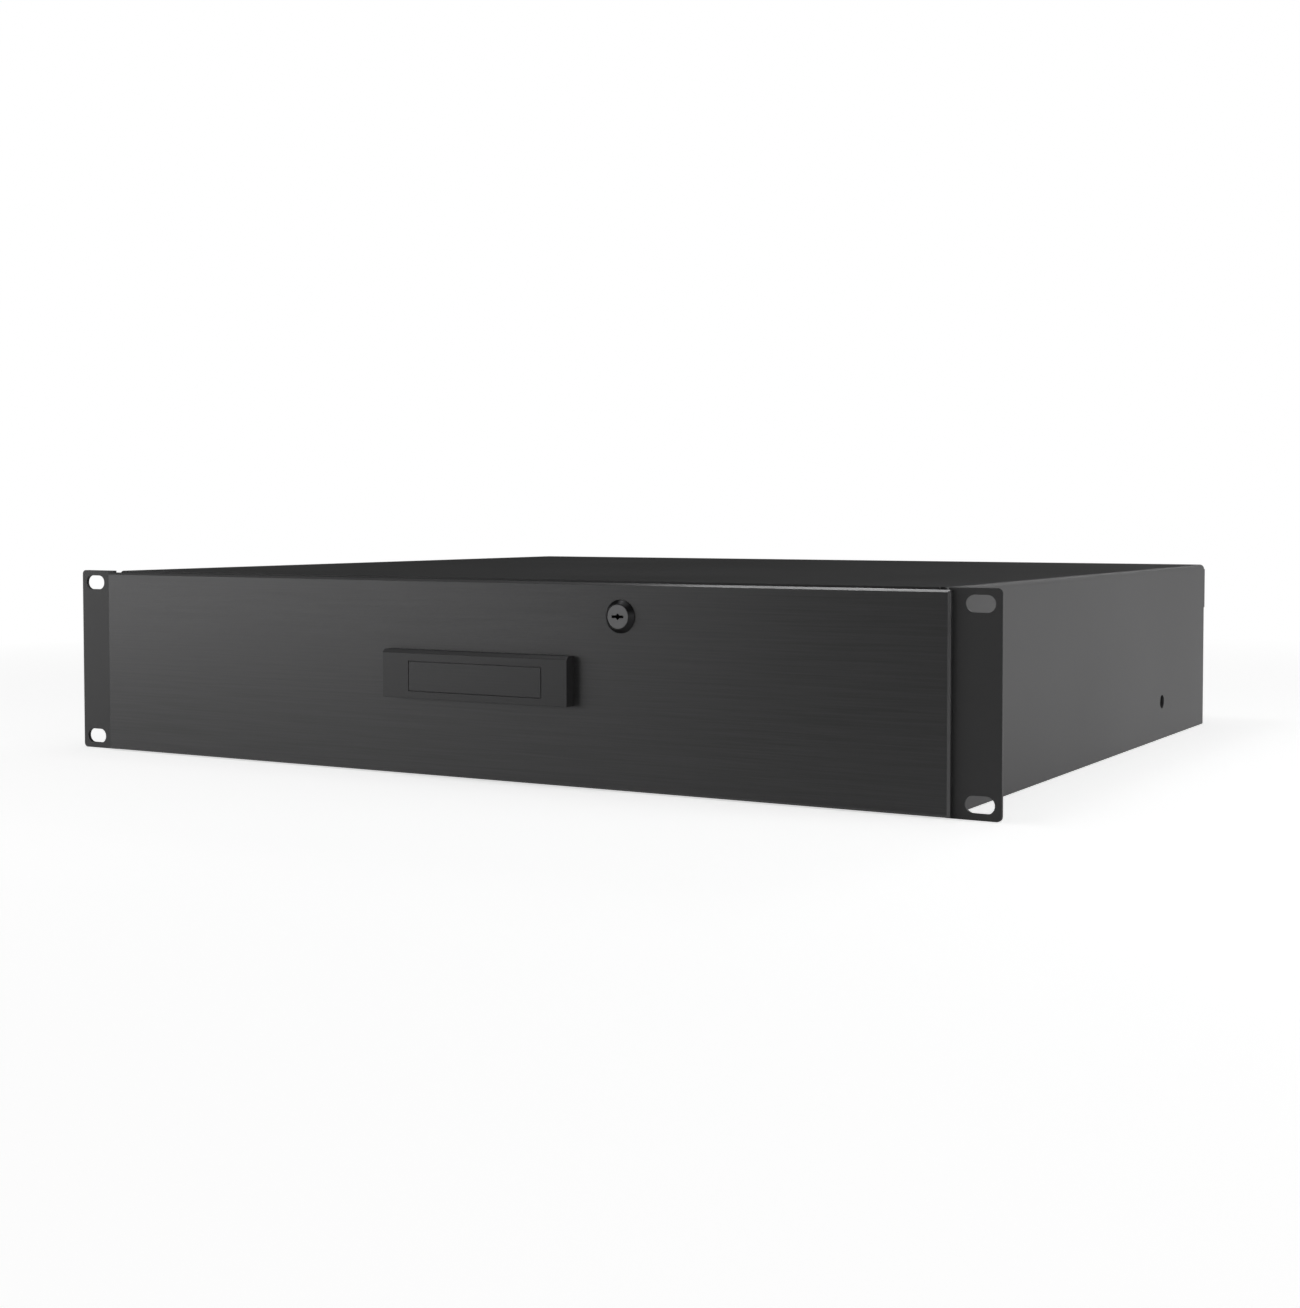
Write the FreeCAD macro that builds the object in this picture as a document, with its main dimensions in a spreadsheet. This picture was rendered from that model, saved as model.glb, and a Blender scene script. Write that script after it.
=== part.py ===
"""Sliding drawer for a 19-inch rack, two units high, on full-extension ball-bearing slides.

Frame: millimetres, X to the right, Y into the rack, Z up. The origin is the centre of the four
rack slots on the rear, seating face of the ears. The drawer is modelled shut and unlocked.
"""
import FreeCAD
import Part
import Sketcher

import math
import os
import re

# Driving dimensions, one spreadsheet cell each.
SIZES = {
    # rack ears, folded out of the housing sides
    "rack_height": 88.1,
    "ear_reach": 22.7,
    "slot_inset_across": 8.75,
    "slot_inset_up": 5.95,
    "rack_slot_length": 12.0,
    "rack_slot_width": 6.8,
    "ear_corner": 2.0,
    # housing sheet metal
    "sheet": 1.5,
    "bend_inside": 1.0,
    "body_width": 437.2,
    "body_depth": 376.5,
    "corner_notch": 1.5,
    "rear_flange_drop": 23.6,
    "side_hole_diameter": 7.0,
    "side_hole_from_rear": 81.4,
    "side_hole_from_floor": 19.1,
    "pan_setback": 4.0,
    "pan_flange": 12.0,
    "sheet_fit": 0.2,
    # drawer tray
    "tray_sheet": 1.2,
    "tray_floor_gap": 6.05,
    "tray_top_gap": 9.55,
    "tray_front_rise": 7.0,
    "tray_rear_gap": 15.0,
    "tray_lip": 8.0,
    # front panel
    "panel_overlap": 2.75,
    "panel_margin_low": 0.4,
    "panel_margin_high": 0.8,
    "panel_thickness": 2.5,
    "panel_gap": 0.5,
    "panel_edge": 1.0,
    "stud_inset_across": 19.4,
    "stud_inset_up": 12.0,
    "stud_below_lock": 3.3,
    "stud_length": 8.0,
    "stud_hole": 5.0,
    # pull and its bare plate
    "pull_width": 97.6,
    "pull_height": 21.3,
    "pull_thickness": 5.2,
    "pull_offset": 2.8,
    "pull_level": 1.4,
    "pull_bevel": 1.5,
    "pull_side_wall": 5.0,
    "scoop_rise": 11.0,
    "scoop_thickness": 3.2,
    "insert_width": 70.0,
    "insert_height": 12.8,
    "insert_thickness": 0.8,
    "insert_offset": 3.5,
    "insert_level": 0.5,
    "insert_play": 0.3,
    "pull_screw_spacing": 72.0,
    "pull_screw_level": 7.6,
    "pull_screw_bite": 3.0,
    # cam lock
    "lock_across": 75.0,
    "lock_from_top": 14.75,
    "lock_head_diameter": 14.0,
    "lock_head_length": 2.4,
    "lock_taper_length": 2.1,
    "lock_taper": 1.6,
    "barrel_diameter": 12.0,
    "barrel_length": 15.0,
    "plug_diameter": 10.2,
    "plug_sink": 0.2,
    "keyway_width": 5.6,
    "keyway_height": 1.0,
    "keyway_eye": 2.8,
    "keyway_length": 7.0,
    "tang_width": 6.0,
    "lock_nut_across": 16.0,
    "lock_nut_thickness": 2.5,
    "lock_notch": 30.0,
    "lock_notch_drop": 11.0,
    "cam_gap": 0.5,
    "cam_reach": 12.5,
    "cam_width": 10.0,
    "cam_thickness": 1.5,
    "cam_tail": 5.5,
    "cam_screw_diameter": 3.0,
    "cam_screw_across": 7.0,
    "cam_screw_bite": 4.0,
    "catch_width": 30.0,
    "catch_clearance": 0.65,
    "catch_gap": 1.5,
    "catch_seat": 9.0,
    # slides
    "slide_start": 5.0,
    "slide_rear_gap": 20.0,
    "slide_level": 3.0,
    "slide_gauge": 1.2,
    "slide_width": 12.7,
    "slide_height": 44.8,
    "slide_bend": 0.8,
    "outer_reach": 8.6,
    "middle_back": 2.2,
    "middle_mouth": 10.2,
    "inner_reach": 6.7,
    "outer_row": 5.6,
    "inner_row": 8.2,
    "ball_diameter": 4.0,
    "ball_play": 0.04,
    "race_sink": 0.3,
    "cage_gauge": 0.5,
    "cage_length": 170.0,
    "cage_from_front": 90.0,
    "outer_cage_back": 1.45,
    "inner_cage_back": 4.0,
    "cage_overhang": 2.8,
    "ball_pitch": 50.0,
    "ball_margin": 10.0,
    "bumper_length": 7.0,
    "bumper_height": 18.0,
    "bumper_corner": 1.2,
    "bumper_gap": 0.5,
    "tray_screw_pitch": 260.0,
    "tray_screw_start": 40.0,
    "tray_screw_diameter": 3.5,
    "tray_screw_tip": 0.8,
    # fasteners
    "screw_diameter": 4.0,
    "screw_head_across": 7.0,
    "screw_head_height": 2.0,
    "screw_play": 0.1,
    "screw_tip_gap": 0.4,
    "nut_across": 7.0,
    "nut_thickness": 3.2,
}
BALLS_PER_ROW = 4

doc = FreeCAD.newDocument("RackDrawer")
sheet = doc.addObject("Spreadsheet::Sheet", "Sizes")
for row, (alias, size) in enumerate(SIZES.items(), start=1):
    sheet.set(f"A{row}", alias)
    sheet.set(f"B{row}", str(size))
    sheet.setAlias(f"B{row}", alias)
doc.recompute()

# Places that several pieces share, as expressions of the sizes above.
BEND_OUTSIDE = "(bend_inside + sheet)"
BODY_HALF = "(body_width / 2)"
WALL_IN = "(body_width / 2 - sheet)"
TOP = "(rack_height / 2)"
TOP_IN = "(rack_height / 2 - sheet)"
FLOOR = "(-rack_height / 2)"
REAR_OUT = "(body_depth + sheet)"
EAR_TIP = "(body_width / 2 + ear_reach)"
SLOT_ACROSS = "(body_width / 2 + ear_reach - slot_inset_across)"
SLOT_UP = "(rack_height / 2 - slot_inset_up)"
TRAY_HALF = "(body_width / 2 - sheet - slide_width)"
TRAY_IN = "(body_width / 2 - sheet - slide_width - tray_sheet)"
TRAY_FLOOR = "(tray_floor_gap - rack_height / 2)"
TRAY_TOP = "(rack_height / 2 - sheet - tray_top_gap)"
TRAY_FRONT = "(-sheet - panel_gap)"
TRAY_FRONT_IN = "(-sheet - panel_gap + tray_sheet)"
TRAY_REAR = "(body_depth - sheet - tray_rear_gap)"
TRAY_BEND = "(bend_inside + tray_sheet)"
PANEL_FACE = "(-sheet - panel_gap - panel_thickness)"
PULL_FACE = "(-sheet - panel_gap - panel_thickness - pull_thickness)"
LOCK_FACE = "(-sheet - panel_gap - panel_thickness - lock_head_length)"
BARREL_END = "(-sheet - panel_gap - panel_thickness + barrel_length)"
CAM_FACE = "(-sheet - panel_gap - panel_thickness + barrel_length + cam_gap)"
CATCH_REAR = f"({CAM_FACE} - catch_gap)"
SLIDE_END = "(body_depth - sheet - slide_rear_gap)"
SLIDE_LENGTH = "(body_depth - sheet - slide_rear_gap - slide_start)"
MEMBER_END = "(body_depth - sheet - slide_rear_gap - bumper_length - bumper_gap)"
CAGE_START = "(slide_start + cage_from_front)"
LOCK_UP = "(rack_height / 2 - lock_from_top)"
PANEL_HALF = "(body_width / 2 + panel_overlap)"
PANEL_LOW = "(panel_margin_low - rack_height / 2)"
PANEL_HIGH = "(rack_height / 2 - panel_margin_high)"
RACE = "(ball_diameter / 2 - race_sink)"
OUTER_ROW_UP = "(slide_height / 2 - slide_gauge - ball_diameter / 2 + race_sink)"
MIDDLE_HALF = f"({OUTER_ROW_UP} - {RACE})"
INNER_ROW_UP = f"({MIDDLE_HALF} - slide_gauge - {RACE})"
INNER_HALF = f"({INNER_ROW_UP} - {RACE})"
BALL_HOLE = "(ball_diameter / 2 + ball_play)"
# A cube cut back to 26 equal-edged faces, its corners on the ball's surface.
BALL_FLAT = "(ball_diameter / 2 * 0.863)"
BALL_CUT = "(ball_diameter / 2 * 0.505)"
SCREW_HOLE = "(screw_diameter / 2 + screw_play)"
TRAY_SCREW_HOLE = "(tray_screw_diameter / 2 + screw_play)"

PLANES = {"front": ("XZ_Plane", -1), "side": ("YZ_Plane", 1), "plan": ("XY_Plane", 1)}


def full(text):
    """An expression with each bare alias pointed at its spreadsheet cell."""
    return re.sub(r"[a-z_]+", lambda found: f"Sizes.{found[0]}" if found[0] in SIZES else found[0], str(text))


def value(text):
    """The present value of an expression, to place geometry before its constraints solve."""
    return float(sheet.evalExpression(full(text)))


def bind(thing, path, text):
    thing.setExpression(path, full(text))


def new_body(label):
    body = doc.addObject("PartDesign::Body", label)
    body.Label = label
    return body


def sketch_on(body, view, start, origin=("0", "0")):
    """A sketch across one of the body's origin planes, moved to start along the third axis."""
    role, sign = PLANES[view]
    sketch = body.newObject("Sketcher::SketchObject", f"{body.Name}_sketch")
    plane = next(feature for feature in body.Origin.OriginFeatures if feature.Role == role)
    sketch.AttachmentSupport = (plane, "")
    sketch.MapMode = "FlatFace"
    bind(sketch, "AttachmentOffset.Base.x", origin[0])
    bind(sketch, "AttachmentOffset.Base.y", origin[1])
    bind(sketch, "AttachmentOffset.Base.z", f"{sign} * ({start})")
    return sketch


def pin_down(sketch, geometry, point, across, up):
    """Hold one point of a sketch at its distances from the sketch's origin."""
    for kind, text in (("DistanceX", across), ("DistanceY", up)):
        index = sketch.addConstraint(Sketcher.Constraint(kind, -1, 1, geometry, point, value(text)))
        bind(sketch, f"Constraints[{index}]", text)


def outline(sketch, corners):
    """A closed loop through corners, each (across, up) or (across, up, radius)."""
    places = [FreeCAD.Vector(value(corner[0]), value(corner[1]), 0) for corner in corners]
    count = len(corners)
    ends = []
    arcs = []
    for index, corner in enumerate(corners):
        here = places[index]
        back = (places[index - 1] - here).normalize()
        ahead = (places[(index + 1) % count] - here).normalize()
        if len(corner) == 2:
            ends.append((here, here))
            arcs.append(None)
            continue
        half = back.getAngle(ahead) / 2
        radius = value(corner[2])
        run = radius / math.tan(half)
        centre = here + (back + ahead).normalize() * (radius / math.sin(half))
        start = here + back * run
        finish = here + ahead * run
        left_turn = back.cross(ahead).z < 0
        first, last = (start, finish) if left_turn else (finish, start)
        angles = [math.atan2(p.y - centre.y, p.x - centre.x) for p in (first, last)]
        circle = Part.Circle(centre, FreeCAD.Vector(0, 0, 1), radius)
        ends.append((start, finish))
        arcs.append((Part.ArcOfCircle(circle, angles[0], angles[1]), left_turn))
    lines = []
    for index in range(count):
        segment = Part.LineSegment(ends[index][1], ends[(index + 1) % count][0])
        lines.append(sketch.addGeometry(segment, False))
    for index, corner in enumerate(corners):
        before, after = lines[index - 1], lines[index]
        if arcs[index] is None:
            sketch.addConstraint(Sketcher.Constraint("Coincident", before, 2, after, 1))
            pin_down(sketch, after, 1, corner[0], corner[1])
            continue
        shape, left_turn = arcs[index]
        arc = sketch.addGeometry(shape, False)
        first, last = (1, 2) if left_turn else (2, 1)
        sketch.addConstraint(Sketcher.Constraint("Tangent", before, 2, arc, first))
        sketch.addConstraint(Sketcher.Constraint("Tangent", arc, last, after, 1))
        radius = sketch.addConstraint(Sketcher.Constraint("Radius", arc, value(corner[2])))
        bind(sketch, f"Constraints[{radius}]", corner[2])
        tip = sketch.addGeometry(Part.Point(places[index]), True)
        sketch.addConstraint(Sketcher.Constraint("PointOnObject", tip, 1, before))
        sketch.addConstraint(Sketcher.Constraint("PointOnObject", tip, 1, after))
        pin_down(sketch, tip, 1, corner[0], corner[1])


def rectangle(sketch, left, right, low, high, radius=None):
    extra = () if radius is None else (radius,)
    outline(sketch, [(left, low, *extra), (right, low, *extra), (right, high, *extra), (left, high, *extra)])


def square(sketch, across, up, half):
    rectangle(sketch, f"{across} - {half}", f"{across} + {half}", f"{up} - {half}", f"{up} + {half}")


def circle(sketch, across, up, radius):
    centre = FreeCAD.Vector(value(across), value(up), 0)
    ring = sketch.addGeometry(Part.Circle(centre, FreeCAD.Vector(0, 0, 1), value(radius)), False)
    pin_down(sketch, ring, 3, across, up)
    index = sketch.addConstraint(Sketcher.Constraint("Radius", ring, value(radius)))
    bind(sketch, f"Constraints[{index}]", radius)


def slot(sketch, across, up, length, width):
    """A level slot with half-round ends; length is end to end."""
    reach = value(f"({length} - {width}) / 2")
    radius = value(f"{width} / 2")
    middle = FreeCAD.Vector(value(across), value(up), 0)
    arcs = []
    for side, turn in ((1, -math.pi / 2), (-1, math.pi / 2)):
        ring = Part.Circle(middle + FreeCAD.Vector(side * reach, 0, 0), FreeCAD.Vector(0, 0, 1), radius)
        arcs.append(sketch.addGeometry(Part.ArcOfCircle(ring, turn, turn + math.pi), False))
    for side, before, after in ((1, arcs[0], arcs[1]), (-1, arcs[1], arcs[0])):
        here = middle + FreeCAD.Vector(side * reach, side * radius, 0)
        there = middle + FreeCAD.Vector(-side * reach, side * radius, 0)
        line = sketch.addGeometry(Part.LineSegment(here, there), False)
        sketch.addConstraint(Sketcher.Constraint("Tangent", before, 2, line, 1))
        sketch.addConstraint(Sketcher.Constraint("Tangent", line, 2, after, 1))
    pin_down(sketch, arcs[0], 3, f"{across} + ({length} - {width}) / 2", up)
    pin_down(sketch, arcs[1], 3, f"{across} - ({length} - {width}) / 2", up)
    index = sketch.addConstraint(Sketcher.Constraint("Radius", arcs[0], radius))
    bind(sketch, f"Constraints[{index}]", f"{width} / 2")


def hexagon(sketch, across, up, width):
    """A hexagon of the given width across its flats, one corner pointing to each side."""
    radius = f"({width}) / 2 / cos(30)"
    outline(sketch, [(f"{across} + {radius} * cos({turn})", f"{up} + {radius} * sin({turn})")
                     for turn in range(0, 360, 60)])


def grow(sketch, length, view):
    """Pad a sketch towards the positive end of its axis."""
    pad = sketch.getParentGeoFeatureGroup().newObject("PartDesign::Pad", f"{sketch.Name}_pad")
    pad.Profile = sketch
    pad.Reversed = PLANES[view][1] < 0
    bind(pad, "Length", length)
    return pad


def cut(sketch, length, view):
    """Pocket a sketch towards the positive end of its axis."""
    pocket = sketch.getParentGeoFeatureGroup().newObject("PartDesign::Pocket", f"{sketch.Name}_pocket")
    pocket.Profile = sketch
    pocket.Reversed = PLANES[view][1] > 0
    bind(pocket, "Length", length)
    return pocket


def turned(body, across, up, corners):
    """A solid of revolution about a line along Y: corners are (along Y, radius)."""
    sketch = sketch_on(body, "side", across, origin=("0", up))
    outline(sketch, corners)
    revolution = body.newObject("PartDesign::Revolution", f"{sketch.Name}_turn")
    revolution.Profile = sketch
    revolution.ReferenceAxis = (sketch, ["H_Axis"])
    revolution.Angle = 360
    return revolution


def holes(body, view, start, length, places, radius):
    """Round holes of one radius through a body at a list of places."""
    sketch = sketch_on(body, view, start)
    for across, up in places:
        circle(sketch, across, up, radius)
    return cut(sketch, length, view)


def mirrored(source, label):
    """The left-hand twin of a right-hand piece."""
    twin = doc.addObject("Part::Mirroring", label)
    twin.Label = label
    twin.Source = source
    twin.Normal = FreeCAD.Vector(1, 0, 0)
    return twin


def chamfered(body, feature, edge_names, size):
    chamfer = body.newObject("PartDesign::Chamfer", f"{body.Name}_chamfer")
    chamfer.Base = (feature, edge_names)
    bind(chamfer, "Size", size)
    return chamfer


def channel(sketch, back, mouth, half, gauge, bend, towards):
    """A U section lying on its side about the slide's level: towards is the way its mouth faces."""
    low, high = f"slide_level - {half}", f"slide_level + {half}"
    inner = f"{back} + {towards} * {gauge}"
    outline(sketch, [
        (mouth, high), (back, high, f"{bend} + {gauge}"), (back, low, f"{bend} + {gauge}"), (mouth, low),
        (mouth, f"{low} + {gauge}"), (inner, f"{low} + {gauge}", bend),
        (inner, f"{high} - {gauge}", bend), (mouth, f"{high} - {gauge}"),
    ])


# ---------------------------------------------------------------- housing

def span(side, near, far):
    """Two X places at distances from the middle of the drawer, the lower one first."""
    return sorted((f"{side} * ({near})", f"{side} * ({far})"), key=value)


def rack_slots():
    """Centres of the four slots in the ears."""
    return [(f"{side} * {SLOT_ACROSS}", f"{rise} * {SLOT_UP}")
            for side in (-1, 1) for rise in (-1, 1)]


def housing_shell():
    """Top, sides, folded-out ears and the drop flange at the rear, in one sheet."""
    body = new_body("housing_shell")
    section = sketch_on(body, "front", 0)
    outline(section, [
        (f"-{BODY_HALF}", FLOOR), (f"-{WALL_IN}", FLOOR), (f"-{WALL_IN}", TOP_IN, "bend_inside"),
        (WALL_IN, TOP_IN, "bend_inside"), (WALL_IN, FLOOR), (BODY_HALF, FLOOR),
        (BODY_HALF, TOP, BEND_OUTSIDE), (f"-{BODY_HALF}", TOP, BEND_OUTSIDE),
    ])
    grow(section, "body_depth", "front")
    notches = sketch_on(body, "front", 0)
    front_edge = sketch_on(body, "front", 0)
    for side in (-1, 1):
        left, right = span(side, f"{BODY_HALF} - {BEND_OUTSIDE} - 1", f"{BODY_HALF} + 1")
        rectangle(notches, left, right, f"{TOP} - {BEND_OUTSIDE}", f"{TOP} + 1")
        left, right = span(side, f"{BODY_HALF} - {BEND_OUTSIDE}", f"{BODY_HALF} + 1")
        rectangle(front_edge, left, right, f"{FLOOR} - 1", f"{TOP} - {BEND_OUTSIDE}")
    cut(notches, "corner_notch", "front")
    cut(front_edge, "bend_inside", "front")
    folds = sketch_on(body, "plan", FLOOR)
    for side in (-1, 1):
        inner = f"{side} * {WALL_IN}"
        outer = f"{side} * {BODY_HALF}"
        root = f"{side} * ({BODY_HALF} + bend_inside + 1)"
        corners = [(inner, "corner_notch"), (inner, "-sheet", BEND_OUTSIDE), (root, "-sheet"), (root, 0),
                   (outer, 0, "bend_inside"), (outer, "corner_notch")]
        outline(folds, corners if side > 0 else corners[::-1])
    grow(folds, f"rack_height - {BEND_OUTSIDE}", "plan")
    ears = sketch_on(body, "front", "-sheet")
    for side in (-1, 1):
        root = f"{side} * ({BODY_HALF} + bend_inside)"
        tip = f"{side} * {EAR_TIP}"
        corners = [(root, FLOOR), (tip, FLOOR, "ear_corner"), (tip, TOP, "ear_corner"), (root, TOP)]
        outline(ears, corners if side > 0 else corners[::-1])
    grow(ears, "sheet", "front")
    slots = sketch_on(body, "front", "-sheet - 1")
    for across, up in rack_slots():
        slot(slots, across, up, "rack_slot_length", "rack_slot_width")
    cut(slots, "sheet + 2", "front")
    flat_half = f"({BODY_HALF} - {BEND_OUTSIDE})"
    drop = sketch_on(body, "side", f"-{flat_half}")
    flange_low = f"({TOP} - rear_flange_drop)"
    outline(drop, [
        (f"body_depth - {BEND_OUTSIDE}", TOP), (REAR_OUT, TOP, BEND_OUTSIDE), (REAR_OUT, flange_low),
        ("body_depth", flange_low), ("body_depth", TOP_IN, "bend_inside"),
        (f"body_depth - {BEND_OUTSIDE}", TOP_IN),
    ])
    grow(drop, f"2 * {flat_half}", "side")
    flange = sketch_on(body, "front", "body_depth")
    rectangle(flange, f"-{BODY_HALF}", BODY_HALF, flange_low, f"{TOP} - {BEND_OUTSIDE}")
    grow(flange, "sheet", "front")
    side_hole = ("body_depth - side_hole_from_rear", f"{FLOOR} + side_hole_from_floor")
    holes(body, "side", f"-{BODY_HALF} - 1", "body_width + 2", [side_hole], "side_hole_diameter / 2")
    return body


def bottom_pan():
    """Floor with short side flanges inside the housing, and the rear wall."""
    body = new_body("bottom_pan")
    section = sketch_on(body, "front", "pan_setback")
    rim = f"{FLOOR} + pan_flange"
    floor_in = f"{FLOOR} + sheet"
    inner = f"({WALL_IN} - sheet)"
    outline(section, [
        (f"-{WALL_IN}", FLOOR, BEND_OUTSIDE), (WALL_IN, FLOOR, BEND_OUTSIDE), (WALL_IN, rim), (inner, rim),
        (inner, floor_in, "bend_inside"), (f"-{inner}", floor_in, "bend_inside"), (f"-{inner}", rim),
        (f"-{WALL_IN}", rim),
    ])
    grow(section, f"body_depth - pan_setback - 2 * {BEND_OUTSIDE}", "front")
    wall_top = f"{TOP_IN} - bend_inside - sheet_fit"
    flat_half = f"({WALL_IN} - {BEND_OUTSIDE})"
    fold = sketch_on(body, "side", f"-{flat_half}")
    fold_start = f"(body_depth - 3 * {BEND_OUTSIDE})"
    outline(fold, [
        (fold_start, FLOOR), ("body_depth", FLOOR, BEND_OUTSIDE), ("body_depth", wall_top),
        ("body_depth - sheet", wall_top), ("body_depth - sheet", floor_in, "bend_inside"),
        (fold_start, floor_in),
    ])
    grow(fold, f"2 * {flat_half}", "side")
    wall = sketch_on(body, "front", "body_depth - sheet")
    rectangle(wall, f"sheet_fit - {WALL_IN}", f"{WALL_IN} - sheet_fit", f"{FLOOR} + {BEND_OUTSIDE} + 1",
              wall_top)
    grow(wall, "sheet", "front")
    return body


def lock_catch():
    """Angle under the top sheet that the lock's cam turns up behind."""
    body = new_body("lock_catch")
    profile = sketch_on(body, "side", "lock_across - catch_width / 2")
    low = f"({LOCK_UP} + barrel_diameter / 2 + catch_clearance)"
    front = f"({CATCH_REAR} - sheet)"
    seat_front = f"({CATCH_REAR} - catch_seat)"
    outline(profile, [
        (seat_front, TOP_IN), (CATCH_REAR, TOP_IN, BEND_OUTSIDE), (CATCH_REAR, low), (front, low),
        (front, f"{TOP_IN} - sheet", "bend_inside"), (seat_front, f"{TOP_IN} - sheet"),
    ])
    grow(profile, "catch_width", "side")
    return body


# ---------------------------------------------------------------- slides

def from_wall(depth):
    """An X place given as a distance from the inside of the right-hand wall."""
    return f"({WALL_IN} - {depth})"


def race_places(row, rise):
    return [(from_wall(row), f"slide_level + {side} * {rise}") for side in (-1, 1)]


def slide_outer():
    """Cabinet member: a channel welded to the wall, with a rolled ball race in each flange."""
    body = new_body("slide_outer_right")
    section = sketch_on(body, "front", "slide_start")
    channel(section, WALL_IN, from_wall("outer_reach"), "slide_height / 2", "slide_gauge", "slide_bend", -1)
    grow(section, SLIDE_LENGTH, "front")
    races = race_places("outer_row", OUTER_ROW_UP)
    holes(body, "front", "slide_start - 1", f"{SLIDE_LENGTH} + 2", races, BALL_HOLE)
    return body


def slide_middle():
    """Middle member: races on the outside of its flanges for one ball row and inside for the other."""
    body = new_body("slide_middle_right")
    section = sketch_on(body, "front", "slide_start")
    channel(section, from_wall("middle_back"), from_wall("middle_mouth"), MIDDLE_HALF, "slide_gauge",
            "slide_bend", -1)
    grow(section, f"{MEMBER_END} - slide_start", "front")
    races = race_places("outer_row", OUTER_ROW_UP) + race_places("inner_row", INNER_ROW_UP)
    holes(body, "front", "slide_start - 1", f"{SLIDE_LENGTH} + 2", races, BALL_HOLE)
    return body


def tray_screw_places():
    return [(f"slide_start + tray_screw_start + {step} * tray_screw_pitch", "slide_level")
            for step in range(2)]


def slide_inner():
    """Drawer member: screwed to the tray, its mouth facing the cabinet wall."""
    body = new_body("slide_inner_right")
    section = sketch_on(body, "front", "slide_start")
    channel(section, TRAY_HALF, from_wall("(slide_width - inner_reach)"), INNER_HALF, "slide_gauge",
            "slide_bend", 1)
    grow(section, f"{MEMBER_END} - slide_start", "front")
    races = race_places("inner_row", INNER_ROW_UP)
    holes(body, "front", "slide_start - 1", f"{SLIDE_LENGTH} + 2", races, BALL_HOLE)
    holes(body, "side", f"{TRAY_HALF} - 1", "slide_gauge + 2", tray_screw_places(), TRAY_SCREW_HOLE)
    return body


def ball_steps():
    return [f"({CAGE_START} + ball_margin + {step} * ball_pitch)" for step in range(BALLS_PER_ROW)]


def retainer(label, back, row, rise):
    """Thin channel between two members with a hole round each ball."""
    body = new_body(label)
    section = sketch_on(body, "front", CAGE_START)
    channel(section, from_wall(back), from_wall(f"({row} + cage_overhang)"), f"({rise} + cage_gauge / 2)",
            "cage_gauge", "cage_gauge", -1)
    grow(section, "cage_length", "front")
    windows = sketch_on(body, "plan", f"slide_level - {rise} - cage_gauge")
    for step in ball_steps():
        square(windows, from_wall(row), step, f"({BALL_FLAT} + ball_play)")
    cut(windows, f"2 * {rise} + 2 * cage_gauge", "plan")
    return body


def balls(label, row, rise):
    """Two rows of balls, above and below the slide's level, each a cube with every edge cut back."""
    row_set = doc.addObject("Part::Compound", label)
    row_set.Label = label
    made = []
    for side in (-1, 1):
        for step in ball_steps():
            cube = doc.addObject("Part::Box", f"{label}_cube")
            places = (from_wall(row), step, f"slide_level + {side} * {rise}")
            for name, axis, place in zip(("Length", "Width", "Height"), "xyz", places):
                bind(cube, name, f"2 * {BALL_FLAT}")
                bind(cube, f"Placement.Base.{axis}", f"{place} - {BALL_FLAT}")
            ball = doc.addObject("Part::Chamfer", f"{label}_ball")
            ball.Base = cube
            ball.Edges = [(edge, value(BALL_CUT), value(BALL_CUT)) for edge in range(1, 13)]
            made.append(ball)
    row_set.Links = made
    return row_set


def bumper():
    """Rubber stop held in the rear end of the cabinet member."""
    body = new_body("bumper_right")
    profile = sketch_on(body, "front", f"{SLIDE_END} - bumper_length")
    near, far = from_wall("outer_reach"), from_wall("slide_gauge")
    low, high = "slide_level - bumper_height / 2", "slide_level + bumper_height / 2"
    outline(profile, [
        (f"{near} + bumper_corner", low), (f"{far} - bumper_corner", low), (far, f"{low} + bumper_corner"),
        (far, f"{high} - bumper_corner"), (f"{far} - bumper_corner", high), (f"{near} + bumper_corner", high),
        (near, f"{high} - bumper_corner"), (near, f"{low} + bumper_corner"),
    ])
    grow(profile, "bumper_length", "front")
    return body


def tray_screws():
    """Screws through the tray sides into the drawer members, heads inside the tray."""
    body = new_body("tray_screws")
    for side in (-1, 1):
        start, end = span(side, TRAY_IN, f"{TRAY_HALF} + slide_gauge + tray_screw_tip")
        shanks = sketch_on(body, "side", start)
        for across, up in tray_screw_places():
            circle(shanks, across, up, "tray_screw_diameter / 2")
        grow(shanks, f"{end} - ({start})", "side")
        start, end = span(side, TRAY_IN, f"{TRAY_IN} - screw_head_height")
        heads = sketch_on(body, "side", start)
        for across, up in tray_screw_places():
            hexagon(heads, across, up, "screw_head_across")
        grow(heads, f"{end} - ({start})", "side")
    return body


# ---------------------------------------------------------------- drawer

def stud_places():
    levels = (f"{TRAY_FLOOR} + stud_inset_up", f"{LOCK_UP} - stud_below_lock")
    return [(f"{side} * ({TRAY_HALF} - stud_inset_across)", level) for side in (-1, 1) for level in levels]


def pull_screw_places():
    return [(f"pull_offset + {side} * pull_screw_spacing / 2", "pull_screw_level") for side in (-1, 1)]


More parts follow.
